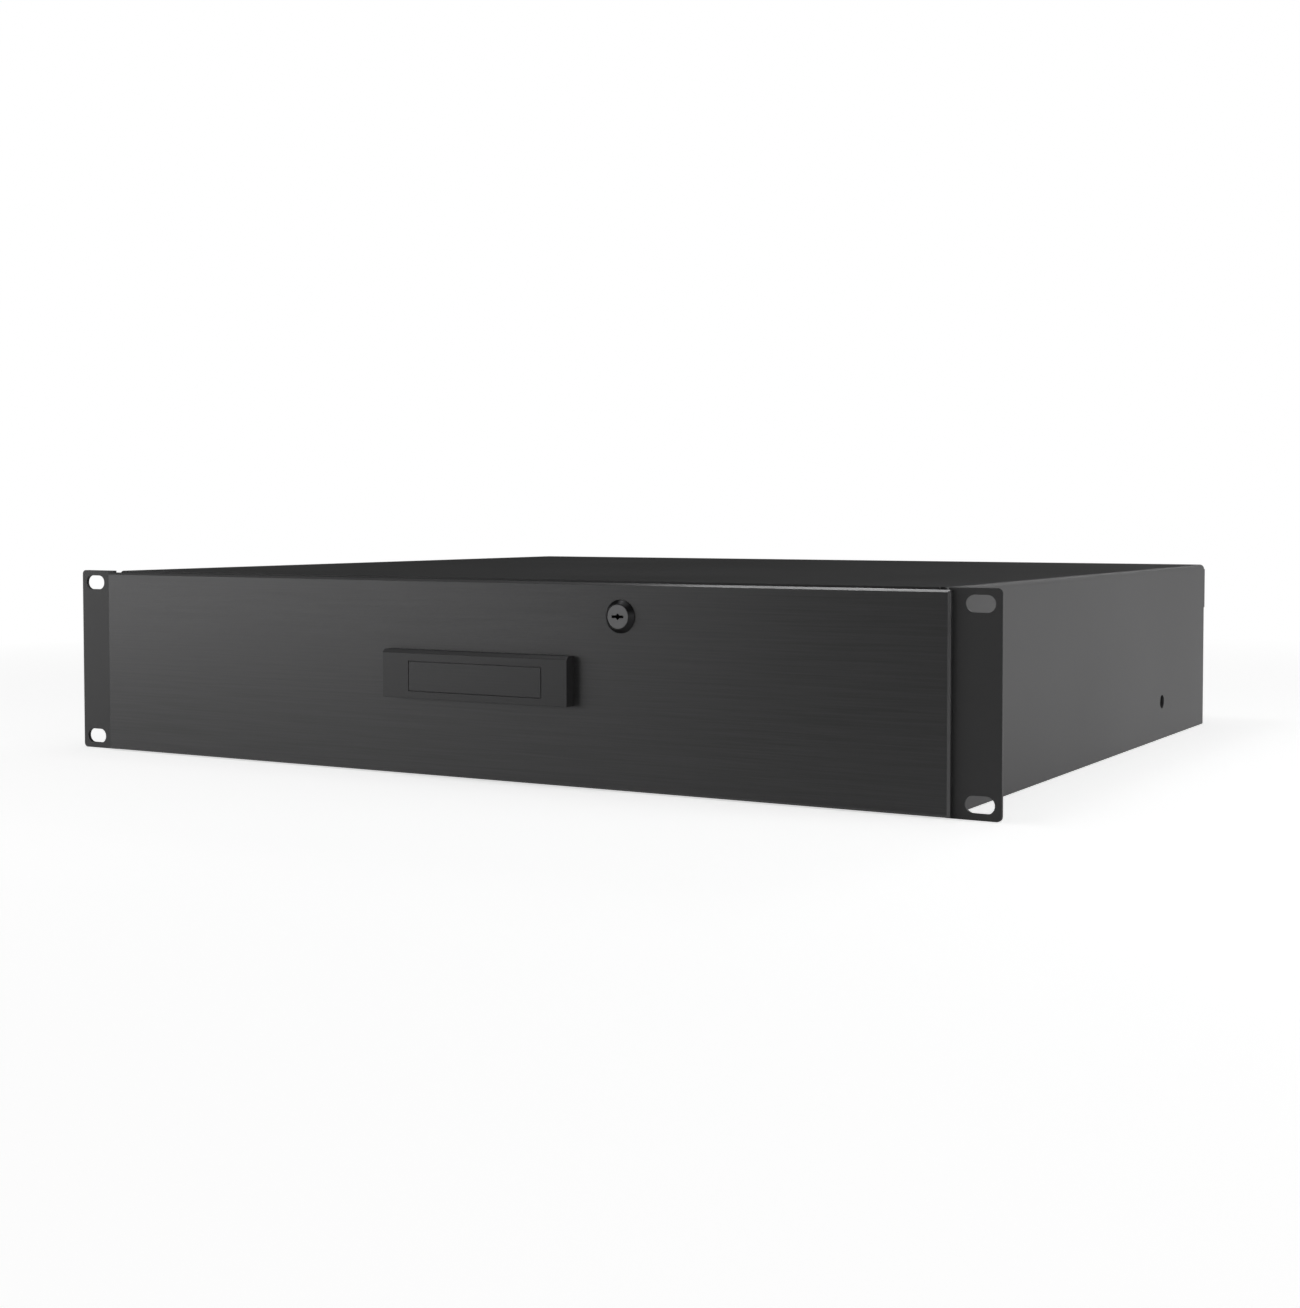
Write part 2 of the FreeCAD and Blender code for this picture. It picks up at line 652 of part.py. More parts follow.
def drawer_tray():
    """Open tray with inward lips, a rear wall, and a raised front wall notched round the lock."""
    body = new_body("drawer_tray")
    lip_end = f"({TRAY_HALF} - tray_lip)"
    floor_in = f"({TRAY_FLOOR} + tray_sheet)"
    lip_low = f"({TRAY_TOP} - tray_sheet)"
    section = sketch_on(body, "front", f"{TRAY_FRONT} + {TRAY_BEND}")
    outline(section, [
        (f"-{TRAY_HALF}", TRAY_FLOOR, TRAY_BEND), (TRAY_HALF, TRAY_FLOOR, TRAY_BEND),
        (TRAY_HALF, TRAY_TOP, TRAY_BEND), (lip_end, TRAY_TOP), (lip_end, lip_low),
        (TRAY_IN, lip_low, "bend_inside"), (TRAY_IN, floor_in, "bend_inside"),
        (f"-{TRAY_IN}", floor_in, "bend_inside"), (f"-{TRAY_IN}", lip_low, "bend_inside"),
        (f"-{lip_end}", lip_low), (f"-{lip_end}", TRAY_TOP), (f"-{TRAY_HALF}", TRAY_TOP, TRAY_BEND),
    ])
    grow(section, f"{TRAY_REAR} - {TRAY_FRONT} - 2 * {TRAY_BEND}", "front")
    flat_half = f"({TRAY_HALF} - {TRAY_BEND})"
    rear_in = f"({TRAY_REAR} - tray_sheet)"
    front_top = f"({TRAY_TOP} + tray_front_rise)"
    strip = sketch_on(body, "side", f"-{flat_half}")
    outline(strip, [
        (TRAY_FRONT, TRAY_FLOOR, TRAY_BEND), (TRAY_REAR, TRAY_FLOOR, TRAY_BEND), (TRAY_REAR, TRAY_TOP),
        (rear_in, TRAY_TOP), (rear_in, floor_in, "bend_inside"), (TRAY_FRONT_IN, floor_in, "bend_inside"),
        (TRAY_FRONT_IN, front_top), (TRAY_FRONT, front_top),
    ])
    grow(strip, f"2 * {flat_half}", "side")
    walls = sketch_on(body, "plan", f"{TRAY_FLOOR} + {TRAY_BEND}")
    rectangle(walls, f"-{TRAY_HALF}", TRAY_HALF, TRAY_FRONT, TRAY_REAR)
    rectangle(walls, f"-{TRAY_IN}", TRAY_IN, TRAY_FRONT_IN, rear_in)
    grow(walls, f"{TRAY_TOP} - {TRAY_FLOOR} - 2 * {TRAY_BEND}", "plan")
    start = f"{TRAY_FRONT} - 1"
    through = "tray_sheet + 2"
    holes(body, "front", start, through, pull_screw_places(), SCREW_HOLE)
    openings = sketch_on(body, "front", start)
    for across, up in stud_places():
        square(openings, across, up, "stud_hole / 2")
    rectangle(openings, "lock_across - lock_notch / 2", "lock_across + lock_notch / 2",
              f"{LOCK_UP} - lock_notch_drop", f"{front_top} + 1")
    cut(openings, through, "front")
    holes(body, "side", f"-{TRAY_HALF} - 1", f"2 * {TRAY_HALF} + 2", tray_screw_places(), TRAY_SCREW_HOLE)
    return body


def front_panel():
    """Flat aluminium plate with its front edges chamfered."""
    body = new_body("front_panel")
    plate = sketch_on(body, "front", PANEL_FACE)
    rectangle(plate, f"-{PANEL_HALF}", PANEL_HALF, PANEL_LOW, PANEL_HIGH)
    slab = grow(plate, "panel_thickness", "front")
    doc.recompute()
    face = value(PANEL_FACE)
    front_loop = [f"Edge{number}" for number, edge in enumerate(slab.Shape.Edges, start=1)
                  if all(abs(vertex.Y - face) < 1e-6 for vertex in edge.Vertexes)]
    chamfered(body, slab, front_loop, "panel_edge")
    start = f"{PANEL_FACE} - 1"
    through = "panel_thickness + 2"
    holes(body, "front", start, through, pull_screw_places(), SCREW_HOLE)
    holes(body, "front", start, through, [("lock_across", LOCK_UP)], "barrel_diameter / 2 + screw_play")
    return body


def panel_studs():
    """Clinch studs on the back of the panel that pass through the tray's front wall."""
    body = new_body("panel_studs")
    sketch = sketch_on(body, "front", TRAY_FRONT)
    for across, up in stud_places():
        circle(sketch, across, up, "screw_diameter / 2")
    grow(sketch, "stud_length", "front")
    return body


def panel_nuts():
    """Hexagon nuts on the clinch studs, tight against the tray's front wall."""
    body = new_body("panel_nuts")
    sketch = sketch_on(body, "front", TRAY_FRONT_IN)
    for across, up in stud_places():
        hexagon(sketch, across, up, "nut_across")
        circle(sketch, across, up, "screw_diameter / 2 + ball_play")
    grow(sketch, "nut_thickness", "front")
    return body


def pull_handle():
    """Shallow pull with a bevelled top edge and a finger scoop that opens downwards behind it."""
    body = new_body("pull_handle")
    low = "(pull_level - pull_height / 2)"
    high = "(pull_level + pull_height / 2)"
    profile = sketch_on(body, "side", "pull_offset - pull_width / 2")
    outline(profile, [
        (PULL_FACE, low), (PANEL_FACE, low), (PANEL_FACE, high), (f"{PULL_FACE} + pull_bevel", high),
        (PULL_FACE, f"{high} - pull_bevel"),
    ])
    grow(profile, "pull_width", "side")
    scoop = sketch_on(body, "side", "pull_offset - pull_width / 2 + pull_side_wall")
    back = f"({PANEL_FACE} - scoop_thickness)"
    outline(scoop, [
        (back, f"{low} - 1"), (f"{PANEL_FACE} + 1", f"{low} - 1"),
        (f"{PANEL_FACE} + 1", f"{low} + scoop_rise"), (back, f"{low} + scoop_rise", "scoop_thickness / 2"),
    ])
    cut(scoop, "pull_width - 2 * pull_side_wall", "side")
    recess = sketch_on(body, "front", f"{PULL_FACE} - 1")
    half_wide = "(insert_width / 2 + insert_play)"
    half_high = "(insert_height / 2 + insert_play)"
    rectangle(recess, f"insert_offset - {half_wide}", f"insert_offset + {half_wide}",
              f"insert_level - {half_high}", f"insert_level + {half_high}")
    cut(recess, "1 + insert_thickness", "front")
    bite = "pull_screw_bite + screw_tip_gap"
    holes(body, "front", f"{PANEL_FACE} - ({bite})", f"{bite} + 1", pull_screw_places(), SCREW_HOLE)
    return body


def handle_insert():
    """Bare plate set in the face of the pull."""
    body = new_body("handle_insert")
    plate = sketch_on(body, "front", PULL_FACE)
    rectangle(plate, "insert_offset - insert_width / 2", "insert_offset + insert_width / 2",
              "insert_level - insert_height / 2", "insert_level + insert_height / 2")
    grow(plate, "insert_thickness", "front")
    return body


def handle_screws():
    """Screws from inside the tray that hold the pull."""
    body = new_body("handle_screws")
    shanks = sketch_on(body, "front", f"{PANEL_FACE} - pull_screw_bite")
    heads = sketch_on(body, "front", TRAY_FRONT_IN)
    for across, up in pull_screw_places():
        circle(shanks, across, up, "screw_diameter / 2")
        hexagon(heads, across, up, "screw_head_across")
    grow(shanks, "pull_screw_bite + panel_thickness + tray_sheet", "front")
    grow(heads, "screw_head_height", "front")
    return body


# ---------------------------------------------------------------- lock

def lock_barrel():
    """Fixed barrel with a tapered head, clamped through the panel."""
    body = new_body("lock_barrel")
    bore = "(plug_diameter / 2 + ball_play)"
    head = "lock_head_diameter / 2"
    shank = "barrel_diameter / 2"
    turned(body, "lock_across", LOCK_UP, [
        (LOCK_FACE, bore), (BARREL_END, bore), (BARREL_END, shank), (PANEL_FACE, shank), (PANEL_FACE, head),
        (f"{LOCK_FACE} + lock_taper_length", head), (LOCK_FACE, f"{head} - lock_taper"),
    ])
    return body


def lock_nut():
    """Thin hexagon nut that clamps the barrel on the back of the panel, in the tray's notch."""
    body = new_body("lock_nut")
    sketch = sketch_on(body, "front", TRAY_FRONT)
    hexagon(sketch, "lock_across", LOCK_UP, "lock_nut_across")
    circle(sketch, "lock_across", LOCK_UP, "barrel_diameter / 2 + ball_play")
    grow(sketch, "lock_nut_thickness", "front")
    return body


def lock_plug():
    """Turning plug with a level keyway, widened to a diamond in the middle, and a square tang for the cam."""
    body = new_body("lock_plug")
    face = f"({LOCK_FACE} + plug_sink)"
    turned(body, "lock_across", LOCK_UP, [
        (face, 0), (CAM_FACE, 0), (CAM_FACE, "plug_diameter / 2"), (face, "plug_diameter / 2"),
    ])
    tang = sketch_on(body, "front", CAM_FACE)
    square(tang, "lock_across", LOCK_UP, "tang_width / 2")
    grow(tang, "cam_thickness - ball_play", "front")
    keyway = sketch_on(body, "front", f"{face} - 1")
    rectangle(keyway, "lock_across - keyway_width / 2", "lock_across + keyway_width / 2",
              f"{LOCK_UP} - keyway_height / 2", f"{LOCK_UP} + keyway_height / 2")
    cut(keyway, "keyway_length + 1", "front")
    eye = sketch_on(body, "front", f"{face} - 1")
    outline(eye, [
        ("lock_across - keyway_eye / 2", LOCK_UP), ("lock_across", f"{LOCK_UP} - keyway_eye / 2"),
        ("lock_across + keyway_eye / 2", LOCK_UP), ("lock_across", f"{LOCK_UP} + keyway_eye / 2"),
    ])
    cut(eye, "keyway_length + 1", "front")
    bite = "cam_screw_bite + screw_tip_gap"
    holes(body, "front", f"{CAM_FACE} - ({bite})", f"{bite} + cam_thickness + 1", [("lock_across", LOCK_UP)],
          "cam_screw_diameter / 2 + ball_play")
    return body


def lock_cam():
    """Flat cam on the tang, pointing left while unlocked."""
    body = new_body("lock_cam")
    plate = sketch_on(body, "front", CAM_FACE)
    rectangle(plate, "lock_across - cam_reach", "lock_across + cam_tail", f"{LOCK_UP} - cam_width / 2",
              f"{LOCK_UP} + cam_width / 2", "0.45 * cam_width")
    square(plate, "lock_across", LOCK_UP, "(tang_width / 2 + ball_play)")
    grow(plate, "cam_thickness", "front")
    return body


def cam_screw():
    """Screw that holds the cam on the plug's tang."""
    body = new_body("cam_screw")
    shank = sketch_on(body, "front", f"{CAM_FACE} - cam_screw_bite")
    circle(shank, "lock_across", LOCK_UP, "cam_screw_diameter / 2")
    grow(shank, "cam_screw_bite + cam_thickness", "front")
    head = sketch_on(body, "front", f"{CAM_FACE} + cam_thickness")
    hexagon(head, "lock_across", LOCK_UP, "cam_screw_across")
    grow(head, "screw_head_height", "front")
    return body


def build():
    """Every sub-part, right-hand pieces followed by their left-hand twins."""
    pieces = [housing_shell(), bottom_pan(), lock_catch()]
    right_hand = [
        slide_outer(), slide_middle(), slide_inner(), bumper(),
        retainer("retainer_outer_right", "outer_cage_back", "outer_row", OUTER_ROW_UP),
        retainer("retainer_inner_right", "inner_cage_back", "inner_row", INNER_ROW_UP),
        balls("balls_outer_right", "outer_row", OUTER_ROW_UP),
        balls("balls_inner_right", "inner_row", INNER_ROW_UP),
    ]
    for piece in right_hand:
        pieces.append(piece)
        pieces.append(mirrored(piece, piece.Label.replace("right", "left")))
    pieces += [drawer_tray(), front_panel(), panel_studs(), panel_nuts(), tray_screws()]
    pieces += [pull_handle(), handle_insert(), handle_screws()]
    pieces += [lock_barrel(), lock_nut(), lock_plug(), lock_cam(), cam_screw()]
    return pieces


def check(pieces):
    """Stop on a failed feature, a pocket that cuts nothing, or a bad shape."""
    for thing in doc.Objects:
        if "Invalid" in thing.State or "Error" in thing.State:
            raise RuntimeError(f"{thing.Label} failed: {thing.State}")
        if thing.TypeId != "PartDesign::Pocket":
            continue
        if thing.Shape.Volume > thing.BaseFeature.Shape.Volume - 0.01:
            raise RuntimeError(f"{thing.Label} cuts nothing")
    for piece in pieces:
        if piece.Shape.isNull() or not piece.Shape.isValid() or not piece.Shape.Solids:
            raise RuntimeError(f"{piece.Label} has no valid shape")


parts = build()
doc.recompute()
check(parts)
os.makedirs("parts", exist_ok=True)
for part in parts:
    part.Shape.exportStep(f"parts/{part.Label}.step")
    print(part.Label, len(part.Shape.Solids), round(part.Shape.Volume, 1))
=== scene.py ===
"""Rack drawer: finishes, fasteners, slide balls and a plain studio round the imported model."""

import math

import bpy
from mathutils import Matrix, Vector


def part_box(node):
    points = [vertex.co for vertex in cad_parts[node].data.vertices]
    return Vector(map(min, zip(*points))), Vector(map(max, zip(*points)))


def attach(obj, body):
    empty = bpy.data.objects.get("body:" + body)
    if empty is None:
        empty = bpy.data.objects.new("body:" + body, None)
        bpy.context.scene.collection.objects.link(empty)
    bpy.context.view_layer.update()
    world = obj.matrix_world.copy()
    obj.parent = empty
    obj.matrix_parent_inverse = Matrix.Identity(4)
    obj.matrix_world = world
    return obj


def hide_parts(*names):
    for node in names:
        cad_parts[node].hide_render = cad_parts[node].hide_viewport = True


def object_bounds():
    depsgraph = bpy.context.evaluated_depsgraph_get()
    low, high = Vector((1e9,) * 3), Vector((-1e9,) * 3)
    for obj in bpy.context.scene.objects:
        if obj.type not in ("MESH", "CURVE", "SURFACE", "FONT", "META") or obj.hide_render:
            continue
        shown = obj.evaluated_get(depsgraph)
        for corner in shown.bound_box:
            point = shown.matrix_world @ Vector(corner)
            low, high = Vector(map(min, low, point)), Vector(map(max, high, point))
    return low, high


bl_info = {
    "name": "Rack drawer",
    "version": (1, 0, 0),
    "blender": (4, 5, 0),
    "location": "3D View > Sidebar > Rack drawer",
    "description": "Finishes and small parts of a sliding rack drawer",
    "category": "Object",
}

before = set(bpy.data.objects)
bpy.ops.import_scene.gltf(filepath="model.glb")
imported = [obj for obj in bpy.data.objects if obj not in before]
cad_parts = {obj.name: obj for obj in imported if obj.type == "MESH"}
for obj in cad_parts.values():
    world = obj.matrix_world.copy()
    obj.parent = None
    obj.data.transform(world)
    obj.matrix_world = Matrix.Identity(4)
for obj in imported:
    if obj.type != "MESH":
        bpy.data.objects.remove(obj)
CAD_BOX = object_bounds()

MM = 0.001
SIDES = ("left", "right")
DRAWER, LOCK = "drawer", "lock_core"
WHITE = (1, 1, 1, 1)
POLISHED_STEEL = (0.75, 0.76, 0.78)
PAPER = (0.86, 0.86, 0.86, 1)

# Faces that meet at less than this many degrees are shaded smooth.
FLAT_SIDED, THREADED, ROUND = 25, 30, 60

BALLS_IN_ROW = 4
TURNED_SIDES, HOLE_SIDES, THREAD_SIDES = 48, 32, 32
MERGE_WITHIN = 0.01 * MM
SEAM_WITHIN = 0.001 * MM
CHAMFER_CUTTER = 1.001  # how much wider the round chamfer cutter is than the hexagon's corners
SHANK_OVERLAP = 0.1 * MM  # how far a shank reaches into its head

FLOOR_SIZE = 40
FLOOR_GAP = 0.2 * MM
FLOOR_MIDDLE = 0.19  # along Y, where the floor's fade is centred
FADE_START, FADE_END = 0.45, 0.95


# ---------------------------------------------------------------- settings

class DrawerFinishes(bpy.types.PropertyGroup):
    """Colours of the drawer's finishes."""

    cabinet_coat: bpy.props.FloatVectorProperty(
        name="Cabinet coat", description="Powder coat of the cabinet", subtype="COLOR", size=3,
        default=(0.078, 0.078, 0.079), min=0, max=1)
    tray_coat: bpy.props.FloatVectorProperty(
        name="Tray coat", description="Powder coat of the tray", subtype="COLOR", size=3,
        default=(0.046, 0.046, 0.048), min=0, max=1)
    panel_anodise: bpy.props.FloatVectorProperty(
        name="Panel anodise", description="Black anodised colour of the front panel", subtype="COLOR", size=3,
        default=(0.072, 0.072, 0.073), min=0, max=1)
    pull_anodise: bpy.props.FloatVectorProperty(
        name="Pull anodise", description="Black anodised colour of the pull", subtype="COLOR", size=3,
        default=(0.056, 0.056, 0.057), min=0, max=1)
    zinc: bpy.props.FloatVectorProperty(
        name="Zinc", description="Bright zinc plate of slides and fasteners", subtype="COLOR", size=3,
        default=(0.62, 0.64, 0.66), min=0, max=1)
    rolled_steel: bpy.props.FloatVectorProperty(
        name="Rolled steel", description="Plain steel of the ball retainers", subtype="COLOR", size=3,
        default=(0.50, 0.51, 0.53), min=0, max=1)
    lock_metal: bpy.props.FloatVectorProperty(
        name="Lock metal", description="Dark satin metal of the lock", subtype="COLOR", size=3,
        default=(0.035, 0.035, 0.036), min=0, max=1)
    lock_face: bpy.props.FloatVectorProperty(
        name="Lock face", description="Worn metal of the lock's plug", subtype="COLOR", size=3,
        default=(0.11, 0.11, 0.112), min=0, max=1)
    rubber: bpy.props.FloatVectorProperty(
        name="Rubber", description="Rubber of the slide bumpers", subtype="COLOR", size=3,
        default=(0.03, 0.03, 0.03), min=0, max=1)


class DrawerSizes(bpy.types.PropertyGroup):
    """Sizes of the small parts that the scene makes."""

    ball_radius: bpy.props.FloatProperty(
        name="Ball radius", description="Radius of a slide's steel ball", unit="LENGTH", default=1.98 * MM)
    tray_sheet: bpy.props.FloatProperty(
        name="Tray sheet", description="Thickness of the tray's sheet", unit="LENGTH", default=1.2 * MM)
    screw_head_height: bpy.props.FloatProperty(
        name="Screw head height", description="Height of a hexagon head", unit="LENGTH", default=2.0 * MM)
    tray_screw_radius: bpy.props.FloatProperty(
        name="Tray screw radius", description="Radius of a tray screw's thread", unit="LENGTH",
        default=1.75 * MM)
    pull_screw_radius: bpy.props.FloatProperty(
        name="Pull screw radius", description="Radius of a pull screw's thread", unit="LENGTH",
        default=2.0 * MM)
    stud_radius: bpy.props.FloatProperty(
        name="Stud radius", description="Radius of a panel stud's thread", unit="LENGTH", default=2.0 * MM)
    panel_nut_across: bpy.props.FloatProperty(
        name="Panel nut across", description="Across the flats of a panel nut", unit="LENGTH",
        default=7.0 * MM)
    lock_nut_hole: bpy.props.FloatProperty(
        name="Lock nut hole", description="Radius of the lock nut's hole", unit="LENGTH", default=6.0 * MM)
    cam_screw_radius: bpy.props.FloatProperty(
        name="Cam screw radius", description="Radius of the cam screw's shank", unit="LENGTH",
        default=1.5 * MM)
    recess_width: bpy.props.FloatProperty(
        name="Recess width", description="Width of one arm of the cross recess", unit="LENGTH",
        default=0.75 * MM)
    recess_span: bpy.props.FloatProperty(
        name="Recess span", description="Tip to tip across the cross recess", unit="LENGTH", default=4.0 * MM)
    recess_depth: bpy.props.FloatProperty(
        name="Recess depth", description="Depth of the cross recess", unit="LENGTH", default=1.2 * MM)
    thread_pitch: bpy.props.FloatProperty(
        name="Thread pitch", description="Pitch of a thread", unit="LENGTH", default=0.7 * MM)
    thread_depth: bpy.props.FloatProperty(
        name="Thread depth", description="Depth of a thread", unit="LENGTH", default=0.35 * MM)
    corner_chamfer: bpy.props.FloatProperty(
        name="Corner chamfer", description="Chamfer round a hexagon's corners", unit="LENGTH",
        default=0.45 * MM)
    # The band beside an edge where the normal is rounded and the colour is painted lighter as a painted
    # highlight.
    edge_band: bpy.props.FloatProperty(
        name="Edge wear", description="How far the finish is rounded and rubbed beside an edge",
        unit="LENGTH", default=0.6 * MM)


class StudioSettings(bpy.types.PropertyGroup):
    """Camera, lamps and backdrop."""

    camera_place: bpy.props.FloatVectorProperty(
        name="Camera place", description="Where the camera stands", subtype="TRANSLATION", size=3,
        default=(0.4913, -0.6783, 0.07165))
    camera_turn: bpy.props.FloatProperty(
        name="Camera turn", description="Turn to the left of straight on", subtype="ANGLE",
        default=math.radians(29.35))
    camera_dip: bpy.props.FloatProperty(
        name="Camera dip", description="Tilt below level", subtype="ANGLE", default=math.radians(2.18))
    camera_lens: bpy.props.FloatProperty(
        name="Lens", description="Focal length in millimetres", default=52.46)
    camera_shift: bpy.props.FloatVectorProperty(
        name="Camera shift", description="Sideways and upward shift of the view", size=2,
        default=(-0.0373, -0.0511))
    fill: bpy.props.FloatProperty(
        name="Fill", description="Brightness of the light from all round", default=0.12, min=0)
    key: bpy.props.FloatProperty(
        name="Key lamp", description="Brightness of the soft lamp at the left", default=3.1, min=0)
    sky: bpy.props.FloatProperty(
        name="Sky lamp", description="Brightness of the wide lamp overhead", default=0.7, min=0)
    side: bpy.props.FloatProperty(
        name="Side lamp", description="Brightness of the soft lamp at the right", default=5.2, min=0)
    top: bpy.props.FloatProperty(
        name="Top lamp", description="Brightness of the narrow lamp above the front", default=8.0, min=0)
    rim: bpy.props.FloatProperty(
        name="Rim lamp", description="Brightness of the small lamp behind the right side",
        default=5.0, min=0)
    floor_glow: bpy.props.FloatProperty(
        name="Floor glow", description="Light that the paper floor shows of its own",
        default=0.65, min=0, max=1)


# ---------------------------------------------------------------- materials

def new_material(name):
    """A material with only a surface shader and its output."""
    material = bpy.data.materials.new(name)
    material.use_nodes = True
    tree = material.node_tree
    tree.nodes.clear()
    output = tree.nodes.new("ShaderNodeOutputMaterial")
    shader = tree.nodes.new("ShaderNodeBsdfPrincipled")
    tree.links.new(shader.outputs["BSDF"], output.inputs["Surface"])
    return material, tree, shader


def pattern_space(tree, stretch):
    """Object coordinates scaled to cells per metre along X, Y and Z."""
    coordinates = tree.nodes.new("ShaderNodeTexCoord")
    mapping = tree.nodes.new("ShaderNodeMapping")
    mapping.inputs["Scale"].default_value = stretch
    tree.links.new(coordinates.outputs["Object"], mapping.inputs["Vector"])
    return mapping.outputs["Vector"]


def grain(tree, stretch, detail=2.0, roughness=0.5):
    """Cloudy noise, with the stretch as its cells per metre along X, Y and Z."""
    noise = tree.nodes.new("ShaderNodeTexNoise")
    noise.inputs["Scale"].default_value = 1.0
    noise.inputs["Detail"].default_value = detail
    noise.inputs["Roughness"].default_value = roughness
    tree.links.new(pattern_space(tree, stretch), noise.inputs["Vector"])
    return noise.outputs["Fac"]


def between(tree, factor, low, high, start=0.3, end=0.7):
    """A number that goes from low to high as the factor goes from start to end."""
    ranged = tree.nodes.new("ShaderNodeMapRange")
    ranged.inputs["From Min"].default_value = start
    ranged.inputs["From Max"].default_value = end
    ranged.inputs["To Min"].default_value = low
    ranged.inputs["To Max"].default_value = high
    tree.links.new(factor, ranged.inputs["Value"])
    return ranged.outputs["Result"]


def shades(tree, factor, colour, spread, start=0.3, end=0.7):
    """The colour, darker and lighter by the spread as the factor goes from start to end."""
    ramp = tree.nodes.new("ShaderNodeValToRGB")
    ramp.color_ramp.elements[0].position = start
    ramp.color_ramp.elements[1].position = end
    ramp.color_ramp.elements[0].color = (*[part * (1 - spread) for part in colour], 1)
    ramp.color_ramp.elements[1].color = (*[part * (1 + spread) for part in colour], 1)
    tree.links.new(factor, ramp.inputs["Fac"])
    return ramp.outputs["Color"]


def sum_of(tree, first, second, share):
    """A mix of two factors, share of it from the second."""
    mix = tree.nodes.new("ShaderNodeMix")
    mix.inputs[0].default_value = share
    tree.links.new(first, mix.inputs[2])
    tree.links.new(second, mix.inputs[3])
    return mix.outputs[0]


def worked(tree, operation, first, second):
    """A sum on two factors, such as MULTIPLY or MAXIMUM."""
    node = tree.nodes.new("ShaderNodeMath")
    node.operation = operation
    tree.links.new(first, node.inputs[0])
    tree.links.new(second, node.inputs[1])
    return node.outputs[0]


def tinted(tree, factor, colour, tint):
    """The colour, turned to the tint as the factor goes from 0 to 1."""
    mix = tree.nodes.new("ShaderNodeMix")
    mix.data_type = "RGBA"
    tree.links.new(factor, mix.inputs[0])
    tree.links.new(colour, mix.inputs[6])
    mix.inputs[7].default_value = (*tint, 1)
    return mix.outputs[2]


def edges(tree, reach):
    """The normal rounded beside the edges, and a factor that is 1 on an edge and 0 away from it."""
    rounded = tree.nodes.new("ShaderNodeBevel")
    rounded.samples = 6
    rounded.inputs["Radius"].default_value = reach
    surface = tree.nodes.new("ShaderNodeNewGeometry")
    agreement = tree.nodes.new("ShaderNodeVectorMath")
    agreement.operation = "DOT_PRODUCT"
    tree.links.new(rounded.outputs["Normal"], agreement.inputs[0])
    tree.links.new(surface.outputs["Normal"], agreement.inputs[1])
    return rounded.outputs["Normal"], between(tree, agreement.outputs["Value"], 1, 0, 0.80, 0.99)


def relief(tree, shader, height, depth, strength, normal):
    """Bump of the given depth in metres, on the normal that is rounded beside the edges."""
    bump = tree.nodes.new("ShaderNodeBump")
    bump.inputs["Distance"].default_value = depth
    bump.inputs["Strength"].default_value = strength
    tree.links.new(height, bump.inputs["Height"])
    tree.links.new(normal, bump.inputs["Normal"])
    tree.links.new(bump.outputs["Normal"], shader.inputs["Normal"])


def powder_coat(name, colour, band):
    """Satin powder coat: fine orange peel, a faint unevenness of sheen, and edges painted a little paler as a
    painted highlight, broken up by noise like rubbed wear.
    """
    material, tree, shader = new_material(name)
    shader.inputs["Specular IOR Level"].default_value = 0.22
    cloud = grain(tree, (9, 9, 9), 3)
    peel = grain(tree, (1400, 1400, 1400), 2)
    speck = grain(tree, (4200, 4200, 4200), 1)
    rounded, edge = edges(tree, band)
    # Painted highlight: the colour is lightened along the edges, in patches like rubbed wear.
    highlighted = worked(tree, "MULTIPLY", edge, between(tree, grain(tree, (160, 160, 160), 3), 0.2, 1))
    coat = shades(tree, sum_of(tree, cloud, speck, 0.4), colour, 0.07)
    tree.links.new(tinted(tree, highlighted, coat, [1.5 * part for part in colour]), shader.inputs["Base Color"])
    tree.links.new(between(tree, sum_of(tree, cloud, speck, 0.3), 0.46, 0.54), shader.inputs["Roughness"])
    relief(tree, shader, sum_of(tree, peel, speck, 0.3), depth=0.05 * MM, strength=0.3, normal=rounded)
    return material


def chamfers(tree):
    """A factor that is 1 on faces that slope between the front and a side, and 0 elsewhere."""
    surface = tree.nodes.new("ShaderNodeNewGeometry")
    normal = tree.nodes.new("ShaderNodeSeparateXYZ")
    tree.links.new(surface.outputs["True Normal"], normal.inputs[0])
    not_front = between(tree, normal.outputs["Y"], 0, 1, -0.95, -0.85)
    not_side = between(tree, normal.outputs["Y"], 1, 0, -0.55, -0.45)
    return worked(tree, "MULTIPLY", not_front, not_side)


def brushed_anodise(name, colour, band, spread=0.10, rough=(0.34, 0.44)):
    """Black anodised aluminium: long straight brush strokes along X, chamfers polished smoother and painted
    lighter as a painted highlight, and edges painted a little lighter as a painted highlight.
    """
    material, tree, shader = new_material(name)
    shader.inputs["Metallic"].default_value = 0.3
    shader.inputs["Specular IOR Level"].default_value = 0.3
    broad = grain(tree, (14, 900, 900), 2, 0.5)
    fine = grain(tree, (36, 2600, 2600), 2, 0.5)
    line = sum_of(tree, broad, fine, 0.5)
    rounded, edge = edges(tree, band)
    chamfer_faces = chamfers(tree)
    brushed = shades(tree, line, colour, spread, 0.36, 0.64)
    # Painted highlight: the chamfer faces are painted lighter, besides being polished smoother.
    brushed = tinted(tree, chamfer_faces, brushed, [1.8 * part for part in colour])
    # Painted highlight: the colour is lightened along the edges.
    tree.links.new(tinted(tree, edge, brushed, [1.25 * part for part in colour]), shader.inputs["Base Color"])
    satin = between(tree, line, *rough, 0.36, 0.64)
    polish = between(tree, chamfer_faces, 0, 0.18, 0, 1)
    tree.links.new(worked(tree, "SUBTRACT", satin, polish), shader.inputs["Roughness"])
    relief(tree, shader, line, depth=0.03 * MM, strength=0.25, normal=rounded)
    return material


